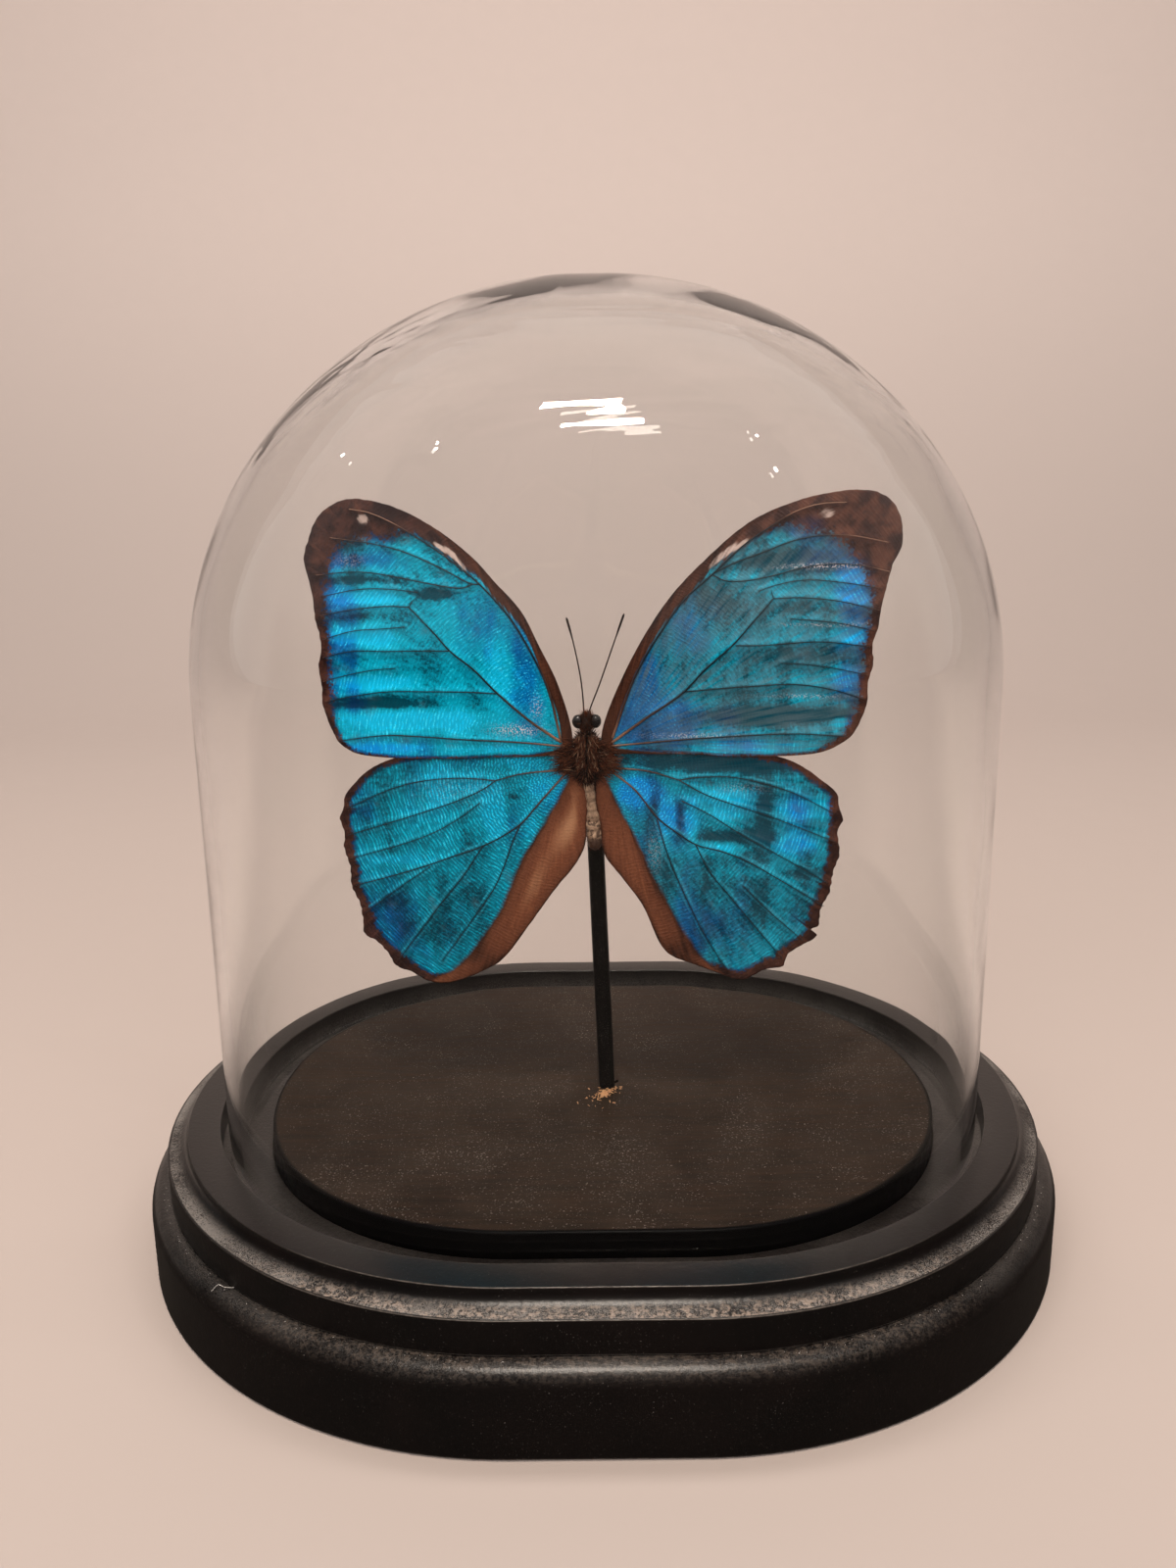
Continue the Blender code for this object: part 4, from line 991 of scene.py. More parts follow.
class SPECIMEN_OT_base(bpy.types.Operator):
    """Make the plinth, the coved collar and the raised deck"""

    bl_idname = "specimen.base"
    bl_label = "Base"

    def execute(self, context):
        settings = context.scene.specimen_base
        lacquer = lacquer_material(tuple(settings.lacquer))
        board = deck_material(tuple(settings.deck))
        self.sweep("plinth", self.plinth_profile(), settings, lacquer, "base_plinth", "black_wood")
        self.sweep("collar", self.collar_profile(settings), settings, lacquer, "base_collar", "black_wood",
                   closed=True)
        self.sweep("deck_board", self.deck_profile(), settings, board, "deck", "deck_wood")
        return {"FINISHED"}

    @staticmethod
    def plinth_profile():
        """Flat underside, upright side, rounded shoulder and flat top, as (radius, height, rounding,
        wear and painted light); the shoulder's value grows towards its top."""
        radius, top, shoulder = PLINTH_HIGH.y, PLINTH_HIGH.z, 3.8 * MM
        turn = np.linspace(0, math.pi / 2, 9)[:, None]
        bend = np.concatenate([radius - shoulder + shoulder * np.cos(turn),
                               top - shoulder + shoulder * np.sin(turn),
                               np.zeros_like(turn), 0.10 + 0.30 * np.sin(turn)], axis=1)
        profile = rounded_profile([(0, 0, 0, 0), (radius, 0, 0.5 * MM, 0.1), *bend, (0, top, 0, 0.4)])
        profile[:, 3][profile[:, 1] > top - shoulder] = 0.0
        return profile

    @staticmethod
    def collar_profile(settings):
        """Outer face, cove as a hollow quarter of an ellipse, rim, pocket for the glass, and the hole
        that the deck stands in, as (radius, height, rounding, wear and painted light). The cove's value
        rises towards its lower, outer half, where the lacquer's painted highlight falls."""
        outer, bottom, top = COLLAR_HIGH.y, COLLAR_LOW.z, COLLAR_HIGH.z
        rim, pocket, foot = settings.rim_radius, settings.pocket_radius, settings.cove_height
        floor, hole = top - settings.pocket_depth, DECK_HIGH.y + 0.3 * MM
        turn = np.linspace(math.pi / 2, 0, 14)[1:-1, None]
        cove = np.concatenate([outer - (outer - rim) * np.cos(turn), top - (top - foot) * np.sin(turn),
                               np.zeros_like(turn), np.sin(turn) ** 3], axis=1)
        return rounded_profile([
            (outer, bottom, 0.25 * MM, 0), (outer, foot, 0.22 * MM, 0.05), *cove,
            (rim, top, 0.22 * MM, 0.17), (pocket, top, 0.35 * MM, 0.24), (pocket, floor, 0.3 * MM, 0.5),
            (hole, floor, 0.3 * MM, 0.35), (hole, bottom, 0.2 * MM, 0.1)])

    @staticmethod
    def deck_profile():
        """A flat board with a small rounding round its upper edge."""
        radius, bottom, top = DECK_HIGH.y, DECK_LOW.z, DECK_HIGH.z
        # The fourth column is 1 on the underside, side and rounded edge, for the painted shade there.
        return rounded_profile([
            (0, bottom, 0, 1), (radius, bottom, 0.2 * MM, 1), (radius, top, 0.6 * MM, 1),
            (radius - 1.0 * MM, top, 0, 0), (0, top, 0, 0)], 6)

    @staticmethod
    def sweep(name, profile, settings, material, node, slot, closed=False):
        points, faces = oval_sweep(profile, settings.arc_steps, closed)
        worn, edge = (np.repeat(column, points.shape[1]) for column in profile[:, 2:].T)
        shape = Shape()
        shape.add(points, [faces], worn=worn, edge=edge)
        piece = shape.build(name, [material], sharp_degrees=35)
        close_middle(piece)
        finish_piece(piece, [node])


def close_middle(piece):
    """Joins the points that a sweep's first and last rows lay on top of each other."""
    mesh = bmesh.new()
    mesh.from_mesh(piece.data)
    bmesh.ops.remove_doubles(mesh, verts=mesh.verts, dist=1e-6)
    mesh.to_mesh(piece.data)
    mesh.free()
    piece.data.update()


# ---------------------------------------------------------------- glass

class SPECIMEN_OT_glass(bpy.types.Operator):
    """Make the blown glass dome with a real wall"""

    bl_idname = "specimen.glass"
    bl_label = "Glass dome"

    def execute(self, context):
        settings = context.scene.specimen_glass
        foot, top, outer, wall = DOME_LOW.z, DOME_HIGH.z, DOME_HIGH.y, settings.wall
        outside = self.face(outer, foot, top, settings)
        inside = self.inner_face(outer - wall, foot, top - wall, settings)
        points = np.concatenate([inside[::-1], self.lip(outer, foot, settings), outside])
        poles = np.array([(0, 0, inside[-1, :, 2].mean()), (0, 0, top)])
        shape = Shape()
        shape.add(np.concatenate([points.reshape(-1, 3), poles]), closed_faces(*points.shape[:2]))
        piece = shape.build("dome_glass", [glass_material()])
        piece.visible_shadow = False
        piece.visible_diffuse = False
        finish_piece(piece, ["glass_dome"])
        return {"FINISHED"}

    @staticmethod
    def face(radius, foot, top, settings):
        """Upright oval wall from the foot to the spring, then a crown: at angle a the plan is
        scaled by cos a and the height is spring + (top - spring) sin a, up to near the pole."""
        spring = settings.spring_height
        ring = racetrack_ring(radius, settings.arc_steps)
        upright = np.linspace(foot + settings.wall / 2, spring, 30, endpoint=False)
        angle = np.linspace(0, math.pi / 2, settings.crown_steps, endpoint=False)
        shrink = np.concatenate([np.ones_like(upright), np.cos(angle)])
        height = np.concatenate([upright, spring + (top - spring) * np.sin(angle)])
        flat = ring[None] * shrink[:, None, None]
        return np.concatenate([flat, np.broadcast_to(height[:, None, None], flat.shape[:2] + (1,))], axis=2)

    @classmethod
    def inner_face(cls, radius, foot, top, settings):
        """The same face, lowered by the crown's extra thickness as the square of the height above
        the spring, leaning a little along x, and pushed in and out by the waviness."""
        spring = settings.spring_height
        inside = cls.face(radius, foot, top, settings)
        high = np.clip((inside[..., 2] - spring) / (top - spring), 0, 1)
        inside[..., 2] -= (settings.crown_extra - 0.012 * inside[..., 0]) * high ** 2
        bow = ripple(inside * (1, 1, 0.6), 0.060, 31, 3) * settings.waviness
        fade = np.clip((inside[..., 2:] - foot) / (12 * MM), 0, 1)
        middle = inside * (1, 1, 0) + (0, 0, spring)
        away = inside - np.where(inside[..., 2:] > spring, (0, 0, spring), middle * (0.25, 0, 1))
        return inside + unit(away) * bow[..., None] * fade

    @staticmethod
    def lip(outer, foot, settings):
        """The foot as a half round between the two faces: at angle a it stands (wall / 2) cos a from
        the wall's middle and (wall / 2) sin a below its centre."""
        half = settings.wall / 2
        turn = np.linspace(0, math.pi, 9)[1:-1]
        ring = racetrack_ring(outer - half, settings.arc_steps)
        outward = unit(ring - np.clip(ring * (1, 0), -HALF_STRAIGHT, HALF_STRAIGHT))
        lip = np.empty((len(turn), len(ring), 3))
        lip[..., :2] = ring + outward * (np.cos(math.pi - turn)[:, None, None] * settings.wall / 2)
        lip[..., 2] = foot + half - (np.sin(turn) * settings.wall / 2)[:, None]
        return lip


# ---------------------------------------------------------------- rod and crumbs

class SPECIMEN_OT_rod(bpy.types.Operator):
    """Make the black rod and the crumbs of wood round its foot"""

    bl_idname = "specimen.rod"
    bl_label = "Rod"

    def execute(self, context):
        foot = np.array([1.6 * MM, -1.2 * MM, ROD_LOW.z])
        head = np.array([-0.9 * MM, -0.3 * MM, ROD_HIGH.z])
        path = foot + (head - foot) * np.linspace(0, 1, 60)[:, None]
        radius = 1.8 * MM * (1 + 0.012 * ripple(path, 0.03, 5, 2))
        nub = np.array([3.2, -1.9, 27.0]) * MM
        nub_path = np.stack([nub, nub + np.array([0.7, -0.2, 0.5]) * MM])
        shape = Shape()
        shape.add(*tube(path, radius, sides=24, cap=0.02))
        shape.add(*tube(nub_path, 0.3 * MM, sides=8))
        finish_piece(shape.build("stand_rod", [rod_material()], sharp_degrees=50), ["rod"])
        self.crumbs()
        return {"FINISHED"}

    @staticmethod
    def crumbs():
        """Splinters as short five-sided chips, thrown about a lump, a streak and a loose scatter."""
        draw = np.random.default_rng(12)
        counts = (60, 26, 14, 26)
        centers = np.repeat(np.array([(0.6, -5.4), (1.6, -4.4), (3.4, -3.0), (-1.4, -6.6)]), counts, axis=0)
        spread = np.repeat(np.array([0.8, 1.0, 0.9, 2.2]), counts)
        shape = Shape()
        for x, y in (centers + draw.normal(size=centers.shape) * spread[:, None]) * MM:
            length, width = draw.uniform(0.15, 0.75) * MM, draw.uniform(0.06, 0.20) * MM
            heading, lean = draw.uniform(0, 2 * math.pi), draw.uniform(-0.15, 0.35)
            along = np.array([math.cos(heading), math.sin(heading), lean]) * length / 2
            middle = np.array([x, y, DECK_HIGH.z + width * 0.8 + abs(along[2])])
            path = np.stack([middle - along, middle, middle + along])
            shape.add(*tube(path, np.array([0.5, 1.0, 0.6]) * width, sides=5))
        wood = plain_grain_material("splintered wood", (0.30, 0.13, 0.05), (0.62, 0.36, 0.18), 0.6, 0.4)
        finish_piece(shape.build("wood_crumbs", [wood], sharp_degrees=40), [])


# ---------------------------------------------------------------- wings

def sheet_height(spec, place, settings):
    """How far the wing's middle surface stands from y = 0 at points (x, z) in mm, and each point's
    distance to a vein. It is the wing's plane, turned a little about the body; a low camber; slow
    unevenness; and relief, nought on a vein and sinking by 1 - exp(-distance^2) between veins."""
    distance = vein_distance(place, spec["veins"])
    reach = np.linalg.norm(place - spec["root"], axis=-1)
    plane = spec["plane"] - WING_TURN * (place[..., 0] - WING_AXIS)
    camber = 0.9 * np.sin(np.clip(reach / 55.0, 0, 1) * math.pi) * -0.6
    relief = settings.relief / MM * (1 - np.exp(-distance ** 2)) * np.clip(reach / 14.0, 0, 1)
    slow = 0.22 * ripple(place, 26.0, 7, 2) * np.clip(reach / 20.0, 0, 1)
    return plane + camber + relief + slow, distance


def gaps(flat, points, steps):
    """For each short straight run of the curve through the points: the run's direction, the way to
    each place from the run's start, and that place's distance in mm to the run."""
    curve = even_steps(smooth_curve(points), steps * len(points))
    for start, end in zip(curve[:-1], curve[1:]):
        run, away = end - start, flat - start
        t = np.clip(away @ run / (run @ run), 0, 1)
        yield run, away, np.hypot(*(away - t[:, None] * run).T)


def vein_distance(place, veins):
    """Distance in mm from each point to the nearest vein."""
    flat = place.reshape(-1, 2)
    nearest = np.full(len(flat), 99.0)
    for _, _, points in veins:
        for _, _, gap in gaps(flat, points, 3):
            nearest = np.minimum(nearest, gap)
    return nearest.reshape(place.shape[:-1])


def beyond(place, spec, limit):
    """Distance in mm past one of a wing's limit lines, positive on the side away from the wing's
    middle: the distance to the nearest run of the line, signed by the side on which the point lies."""
    middle = np.mean([point[:2] for point in spec["edge"]], axis=0)
    flat = np.concatenate([place.reshape(-1, 2), middle[None]])
    nearest, signed = np.full(len(flat), 99.0), np.zeros(len(flat))
    for run, away, gap in gaps(flat, spec[limit], 4):
        side = np.sign(run[0] * away[:, 1] - run[1] * away[:, 0])
        signed = np.where(gap < nearest, gap * side, signed)
        nearest = np.minimum(nearest, gap)
    return (signed[:-1] * -np.sign(signed[-1])).reshape(place.shape[:-1])


def patch_sum(place, patches):
    """Sum of soft oval patches: gain times exp(-(x/width)^2 - (z/height)^2) about each centre."""
    total = np.zeros(place.shape[:-1])
    for x, z, width, height, gain in patches:
        total += gain * np.exp(-((place[..., 0] - x) / width) ** 2 - ((place[..., 1] - z) / height) ** 2)
    return total


def mark_mask(place, marks):
    """1 inside the pale marks, each a leaning oval with a ragged border, and 0 outside them."""
    mask = np.zeros(place.shape[:-1])
    ragged = 0.22 * ripple(place, 1.6, 3, 2)
    for x, z, width, height, lean in marks:
        c, s = math.cos(math.radians(lean)), math.sin(math.radians(lean))
        dx, dz = place[..., 0] - x, place[..., 1] - z
        inside = 1 - ((dx * c + dz * s) / width) ** 2 - ((dz * c - dx * s) / height) ** 2
        mask = np.maximum(mask, np.clip((inside + ragged) * 2.2, 0, 1))
    return mask


def eye_spots(place, eyes):
    """Distance to the nearest underside eye spot, as a share of that spot's radius."""
    nearest = np.full(place.shape[:-1], 2.0)
    for x, z, radius in eyes:
        nearest = np.minimum(nearest, np.hypot(place[..., 0] - x, place[..., 1] - z) / radius)
    return nearest


class SPECIMEN_OT_wings(bpy.types.Operator):
    """Make the four wings with their veins"""

    bl_idname = "specimen.wings"
    bl_label = "Wings"

    def execute(self, context):
        settings = context.scene.specimen_wing
        materials = [wing_material(settings), underside_material(), vein_material()]
        for number, (name, spec) in enumerate(WINGS.items()):
            self.wing(name, spec, settings, materials, number)
        return {"FINISHED"}

    def wing(self, name, spec, settings, materials, number):
        """Point (u, v) is root + u (edge(v) - root): u runs from the root to the edge and v round
        the wing. The upper rows run out to the edge and the under rows back in."""
        columns, root = settings.columns, np.array(spec["root"])
        edge = even_steps(smooth_curve(spec["edge"], closed=True), columns, closed=True)
        outline, bands = edge[:, :2], np.clip(edge[:, 2:], 0, None)
        outward = outline - root
        far = np.linalg.norm(outward, axis=1)
        nick = 0.10 * ripple(outline, 1.9, 40 + number, 3) * np.clip(far / 20 - 0.5, 0, 1)
        outline = outline + outward / far[:, None] * nick[:, None]
        outward = outline - root
        run = np.roll(outline, -1, axis=0) - np.roll(outline, 1, axis=0)
        slant = np.abs(np.cross(run, outward)) / np.linalg.norm(run, axis=1)
        top_u = np.linspace(0, 1, settings.rows_top + 1)[1:]
        under_u = np.linspace(1, 0, settings.rows_under + 1)[:-1]
        u = np.concatenate([top_u, under_u])
        place = root + u[:, None, None] * outward[None]
        height, distance = sheet_height(spec, place, settings)
        inset = (1 - u)[:, None] * slant[None]
        half = 0.5 * settings.thickness / MM * np.clip(inset / 1.2, 0.25, 1) * np.clip(u * 8, 0.3, 1)[:, None]
        upper = len(top_u)
        half[upper - 1] = half[upper] = 0.03
        half[:upper] *= -1
        points = np.stack([place[..., 0], height + half, place[..., 1]], axis=-1).reshape(-1, 3)
        root_height = float(sheet_height(spec, root[None], settings)[0][0])
        poles = np.array([(root[0], root_height - 0.05, root[1]), (root[0], root_height + 0.05, root[1])])
        count, split = len(u) * columns, (upper - 1) * columns
        quads = grid_faces(len(u), columns, wrap_columns=True)
        faces = [quads[:split], quads[split:], fan_faces(count, np.arange(columns)[::-1]),
                 fan_faces(count + 1, np.arange(count - columns, count))]
        angle = np.unwrap(np.arctan2(outward[:, 1], outward[:, 0]))
        values = self.values(spec, place, inset, bands, distance, number)
        values["reach"] = u[:, None] * np.linalg.norm(outward, axis=1)[None] * MM
        values["around"] = np.broadcast_to(angle[None] * 40 * MM, inset.shape)
        values = {key: np.concatenate([value.ravel(), value[0, :1], value[-1, :1]])
                  for key, value in values.items()}
        shape = Shape()
        shape.add(np.concatenate([points, poles]) * MM, faces, slot=[0, 1, 0, 1], **values)
        self.ribs(shape, spec, settings)
        piece = shape.build(name + "_scales", materials, uv=("reach", "around"))
        finish_piece(piece, [name])

    @staticmethod
    def values(spec, place, inset, bands, distance, number):
        """The wing's painted values. A band covers a point when the point lies nearer the edge than
        the band is wide there, with a wavy limit."""
        wave = ripple(place, 5.0, 60 + number, 3)
        dark_band, warm_band = bands.T
        dark = np.clip((dark_band + 0.12 * wave - inset) / 1.8 + 0.5, 0, 1)
        dark *= np.clip(dark_band / 0.2, 0, 1)
        if spec["tip"]:
            dark = np.maximum(dark, np.clip((beyond(place, spec, "tip") + 0.3 * wave) / 4.5 + 0.55, 0, 1))
        if spec["fold"]:
            past = beyond(place, spec, "fold") + 0.15 * wave
            warm = np.clip(past / 0.9 + 0.5, 0, 1)
            depth = inset / (inset + np.maximum(past, 0.05))
        else:
            warm = np.clip((warm_band + 0.06 * wave - inset) / 0.6 + 0.5, 0, 1)
            warm *= np.clip(warm_band / 0.4, 0, 1)
            depth = np.clip(inset / np.maximum(warm_band, 0.4), 0, 1)
        # The blue's tone is painted light: patches and slow bands lift it as painted sheen and lower it as
        # painted shade.
        tone = 0.30 + 1.5 * patch_sum(place, spec["patches"]) + 0.16 * ripple(place, 14.0, 80 + number, 3)
        tone += 0.28 * ripple(place * (1.0, 0.12), 8.0, 100 + number, 3)
        tint = 0.30 * ripple(place * (1.0, 0.3), 11.0, 110 + number, 3)
        reach = np.linalg.norm(place - spec["root"], axis=-1)
        # Rubbed scales, and a painted shade that dulls the blue, most of all on the right forewing.
        rub = spec["rubbed_and_painted_shade"] + 0.7 * np.clip(ripple(place, 9.0, 90 + number, 4) - 0.6, 0, 1)
        # Painted sheen on the fold: strongest in the middle of its roll, where the sine peaks.
        shine = np.clip(spec["gold_and_painted_sheen"] + patch_sum(place, spec["sheen"]), 0, 1.2)
        return {
            "margin": dark,
            "warm": warm,
            "gold_and_painted_sheen": np.sin(depth * math.pi) ** 0.7 * shine,
            "violet": np.clip(patch_sum(place, spec["violet"]) + tint, 0, 1.2),
            "bare_and_painted_glints": np.clip(patch_sum(place, spec["bare_and_painted_glints"]), 0, 1),
            "pale": mark_mask(place, spec["marks"]),
            "tone": tone,
            "rubbed_and_painted_shade": np.clip(rub, 0, 1) * np.clip(reach / 12, 0.3, 1),
            "combed": np.full(inset.shape, spec["combed"]),
            "vein": np.exp(-(distance / 0.26) ** 2),
            # Painted highlight beside each vein.
            "ridge": np.exp(-((distance - 0.55) / 0.20) ** 2),
            "inset": np.clip(inset / 10, 0, 1),
            "eye": eye_spots(place, spec["eyes"]),
        }

    @staticmethod
    def ribs(shape, spec, settings):
        """Veins as tubes that taper outwards, standing a third of their radius above the upper side,
        brown near the root and past the tip's limit."""
        sides = 6
        for start, end, points in spec["veins"]:
            length = np.linalg.norm(np.diff(np.array(points), axis=0), axis=1).sum()
            line = even_steps(smooth_curve(points), int(length / 0.9) + 4)
            height, _ = sheet_height(spec, line, settings)
            radius = np.linspace(start, end, len(line)) * 0.62
            height = height - 0.5 * settings.thickness / MM - radius * 0.3
            path = np.stack([line[:, 0], height, line[:, 1]], axis=1)
            tube_points, faces = tube(path * MM, radius * MM, sides=sides)
            reach = np.linalg.norm(line - spec["root"], axis=1)
            warm = np.clip(1.2 - reach / 16, 0, 1) + 0.7 * np.clip(1.2 - reach / 8, 0, 1)
            if spec["tip"]:
                warm = np.maximum(warm, np.clip(0.5 + beyond(line, spec, "tip") / 2, 0, 2.0))
            warm = np.concatenate([np.repeat(warm, sides), warm[:1], warm[-1:]])
            shape.add(tube_points, faces, slot=2, warm=warm)


# ---------------------------------------------------------------- body

def ellipsoid(center, radii, rings=40, around=56):
    """Points at centre + radii times the unit sphere, by latitude and longitude, poles closed."""
    latitude = np.linspace(-math.pi / 2, math.pi / 2, rings + 2)[1:-1, None]
    longitude = np.linspace(0, 2 * math.pi, around, endpoint=False)[None]
    level = np.cos(latitude)
    ball = np.stack(np.broadcast_arrays(
        level * np.cos(longitude), level * np.sin(longitude), np.sin(latitude)), axis=-1)
    points = np.concatenate([ball.reshape(-1, 3), [(0, 0, -1), (0, 0, 1)]])
    return np.asarray(center) + points * np.asarray(radii), closed_faces(rings, around)


def hair_coat(shape, roots, directions, lengths, tints, draw, width=0.055 * MM, slot=0):
    """Adds hairs to the shape: each is a three-sided tapering prism of three steps, bent by a droop
    that grows with the square of the distance along it."""
    count = len(roots)
    steps = np.array([0.0, 0.35, 0.7, 1.0])
    taper = np.array([1.0, 0.85, 0.55])
    curl = draw.normal(size=(count, 3)) * 0.22 + np.array([0, -0.05, -0.12])
    path = (roots[:, None] + directions[:, None] * (steps[None, :, None] * lengths[:, None, None])
            + curl[:, None] * (steps[None, :, None] ** 2) * lengths[:, None, None])
    side = unit(np.cross(directions, draw.normal(size=(count, 3))))
    other = np.cross(directions, side)
    angle = np.arange(3) * 2 * math.pi / 3
    ring = side[:, None] * np.cos(angle)[None, :, None] + other[:, None] * np.sin(angle)[None, :, None]
    rings = path[:, :3, None] + ring[:, None] * (taper * width)[None, :, None, None]
    points = np.concatenate([rings.reshape(count, 9, 3), path[:, 3:]], axis=1)
    ends = np.concatenate([fan_faces(9, np.array([6, 7, 8])), [[2, 1, 0]]])
    start = np.arange(count)[:, None, None] * 10
    faces = [(grid_faces(3, 3, wrap_columns=True) + start).reshape(-1, 4), (ends + start).reshape(-1, 3)]
    along = np.tile(np.repeat(steps, (3, 3, 3, 1)), count)
    shape.add(points, faces, slot=slot, tint=np.repeat(tints, 10), along=along)


def sphere_directions(count, draw):
    return unit(draw.normal(size=(count, 3)))


def either_side(count, draw):
    """-1 or 1 for each, as often one as the other."""
    return np.where(draw.uniform(size=count) < 0.5, -1.0, 1.0)


class SPECIMEN_OT_body(bpy.types.Operator):
    """Make the hairy thorax, the head with its eyes, and the dry abdomen"""

    bl_idname = "specimen.body"
    bl_label = "Body"

    def execute(self, context):
        settings = context.scene.specimen_body
        fur = fur_material(tuple(settings.fur))
        skin = skin_material(tuple(settings.skin))
        shell = plain_grain_material("dark body shell", (0.006, 0.003, 0.002), (0.045, 0.017, 0.009), 0.34,
                                     Coat_Weight=0.15)
        self.thorax(settings.thorax_hairs, fur, shell)
        self.head(settings.head_hairs, fur, shell)
        self.abdomen(skin, fur)
        return {"FINISHED"}

    @staticmethod
    def thorax(count, fur, shell):
        """A lumpy core with knobs at the wing joints, hair lying back all over it, tufts out over the
        wing roots, a paler frill down the front, and one small bead."""
        low, high = np.array(THORAX_LOW), np.array(THORAX_HIGH)
        center, radii = (low + high) / 2, (high - low) / 2
        shape = Shape()
        points, faces = ellipsoid(center, radii * (0.8, 0.9, 0.9))
        lumps = 1 + 0.05 * ripple(points, 2.2 * MM, 21, 3)
        shape.add(center + (points - center) * lumps[:, None], faces, slot=1)
        for side in (-1, 1):
            for height, reach, size in ((1.6, 3.7, 1.0), (-1.9, 3.4, 0.85), (3.4, 2.9, 0.7)):
                knob = center + np.array([side * reach, -0.2, height]) * MM
                shape.add(*ellipsoid(knob, np.array([1.5, 0.8, 0.9]) * size * MM, 14, 18), slot=1)
        draw = np.random.default_rng(77)
        normal = sphere_directions(count, draw)
        normal[:, 1] -= 0.25
        normal = unit(normal)
        lean = np.stack([np.sign(normal[:, 0]) * 0.35, np.full(count, -0.15),
                         -0.9 + 0.8 * (normal[:, 2] > 0.55)], axis=1)
        directions = (normal * 0.75 + lean * draw.uniform(0.4, 1.1, (count, 1))
                      + draw.normal(size=(count, 3)) * 0.22)
        hair_coat(shape, center + normal * radii * (0.78, 0.9, 0.9), unit(directions),
                  draw.uniform(0.7, 2.1, count) * MM, draw.uniform(0, 1, count) ** 2.8, draw, width=0.09 * MM)
        tuft = 850
        side = either_side(tuft, draw)
        out = draw.uniform(1.6, 4.9, tuft)
        roots = center + np.stack([side * out, draw.uniform(-2.1, -1.1, tuft),
                                   draw.uniform(-4.2, 3.8, tuft) * np.clip(1.3 - out / 6, 0, 1)], axis=1) * MM
        directions = np.stack([side * draw.uniform(0.5, 1.2, tuft), draw.uniform(-0.35, 0.0, tuft),
                               draw.normal(size=tuft) * 0.28], axis=1)
        hair_coat(shape, roots, unit(directions), draw.uniform(1.0, 3.9, tuft) * MM,
                  0.20 + 0.75 * draw.uniform(size=tuft), draw, width=0.10 * MM)
        frill = 500
        side = either_side(frill, draw)
        roots = center + np.stack([side * draw.uniform(0.2, 1.9, frill), draw.uniform(-3.3, -2.6, frill),
                                   draw.uniform(-1.5, 5.2, frill)], axis=1) * MM
        directions = np.stack([side * draw.uniform(0.0, 0.6, frill), draw.uniform(-0.4, 0.1, frill),
                               -0.8 + draw.normal(size=frill) * 0.3], axis=1)
        hair_coat(shape, roots, unit(directions), draw.uniform(0.8, 1.9, frill) * MM,
                  0.30 + 0.70 * draw.uniform(size=frill), draw, width=0.08 * MM)
        bead = center + np.array([1.4, -2.4, 4.6]) * MM
        shape.add(*ellipsoid(bead, np.array([0.45, 0.4, 0.45]) * MM, 10, 14), slot=1)
        finish_piece(shape.build("thorax_hair", [fur, shell]), ["thorax"])

    @staticmethod
    def head(count, fur, shell):
        """A round head capsule with two bulging eyes, a pair of palps and a tuft between the feelers."""
        center = np.array([(HEAD_LOW.x + HEAD_HIGH.x) / 2, -5.4 * MM, 109.4 * MM])
        eye = plain_grain_material("eye bead", (0.004, 0.003, 0.003), (0.012, 0.008, 0.007), 0.08, 0.2,
                                   Coat_Weight=0.6)
        shape = Shape()
        shape.add(*ellipsoid(center, np.array([1.6, 1.5, 1.5]) * MM), slot=1)
        for side in (-1, 1):
            ball = center + np.array([side * 1.75 + 0.1, -0.35, 0.3]) * MM
            shape.add(*ellipsoid(ball, np.array([1.28, 1.25, 1.45]) * MM, 30, 40), slot=2)
            palp = np.array([(side * 0.5, -1.0, 0.7), (side * 0.6, -1.6, 1.7), (side * 0.5, -1.7, 2.6)])
            palp = smooth_curve(center + palp * MM, 6)
            shape.add(*tube(palp, np.linspace(0.42, 0.16, len(palp)) * MM, sides=10, cap=0.9), slot=1)
        draw = np.random.default_rng(78)
        normal = sphere_directions(count, draw)
        normal = normal[np.abs(normal[:, 0]) < 0.72]
        directions = normal + draw.normal(size=normal.shape) * 0.3 + (0, -0.1, 0.25)
        hair_coat(shape, center + normal * 1.45 * MM, unit(directions),
                  draw.uniform(0.4, 1.2, len(normal)) * MM, draw.uniform(0, 0.8, len(normal)), draw,
                  width=0.045 * MM)
        tuft = 260
        spread = draw.normal(size=(tuft, 3)) * (0.45, 0.3, 0.2) * MM
        directions = np.array([0.05, -0.25, 1.0]) + draw.normal(size=(tuft, 3)) * 0.28
        hair_coat(shape, center + np.array([0.15, -0.5, 1.3]) * MM + spread, unit(directions),
                  draw.uniform(0.8, 1.7, tuft) * MM, 0.5 + 0.35 * draw.uniform(size=tuft), draw,
                  width=0.05 * MM)
        finish_piece(shape.build("head_hair", [fur, shell, eye]), ["head"])

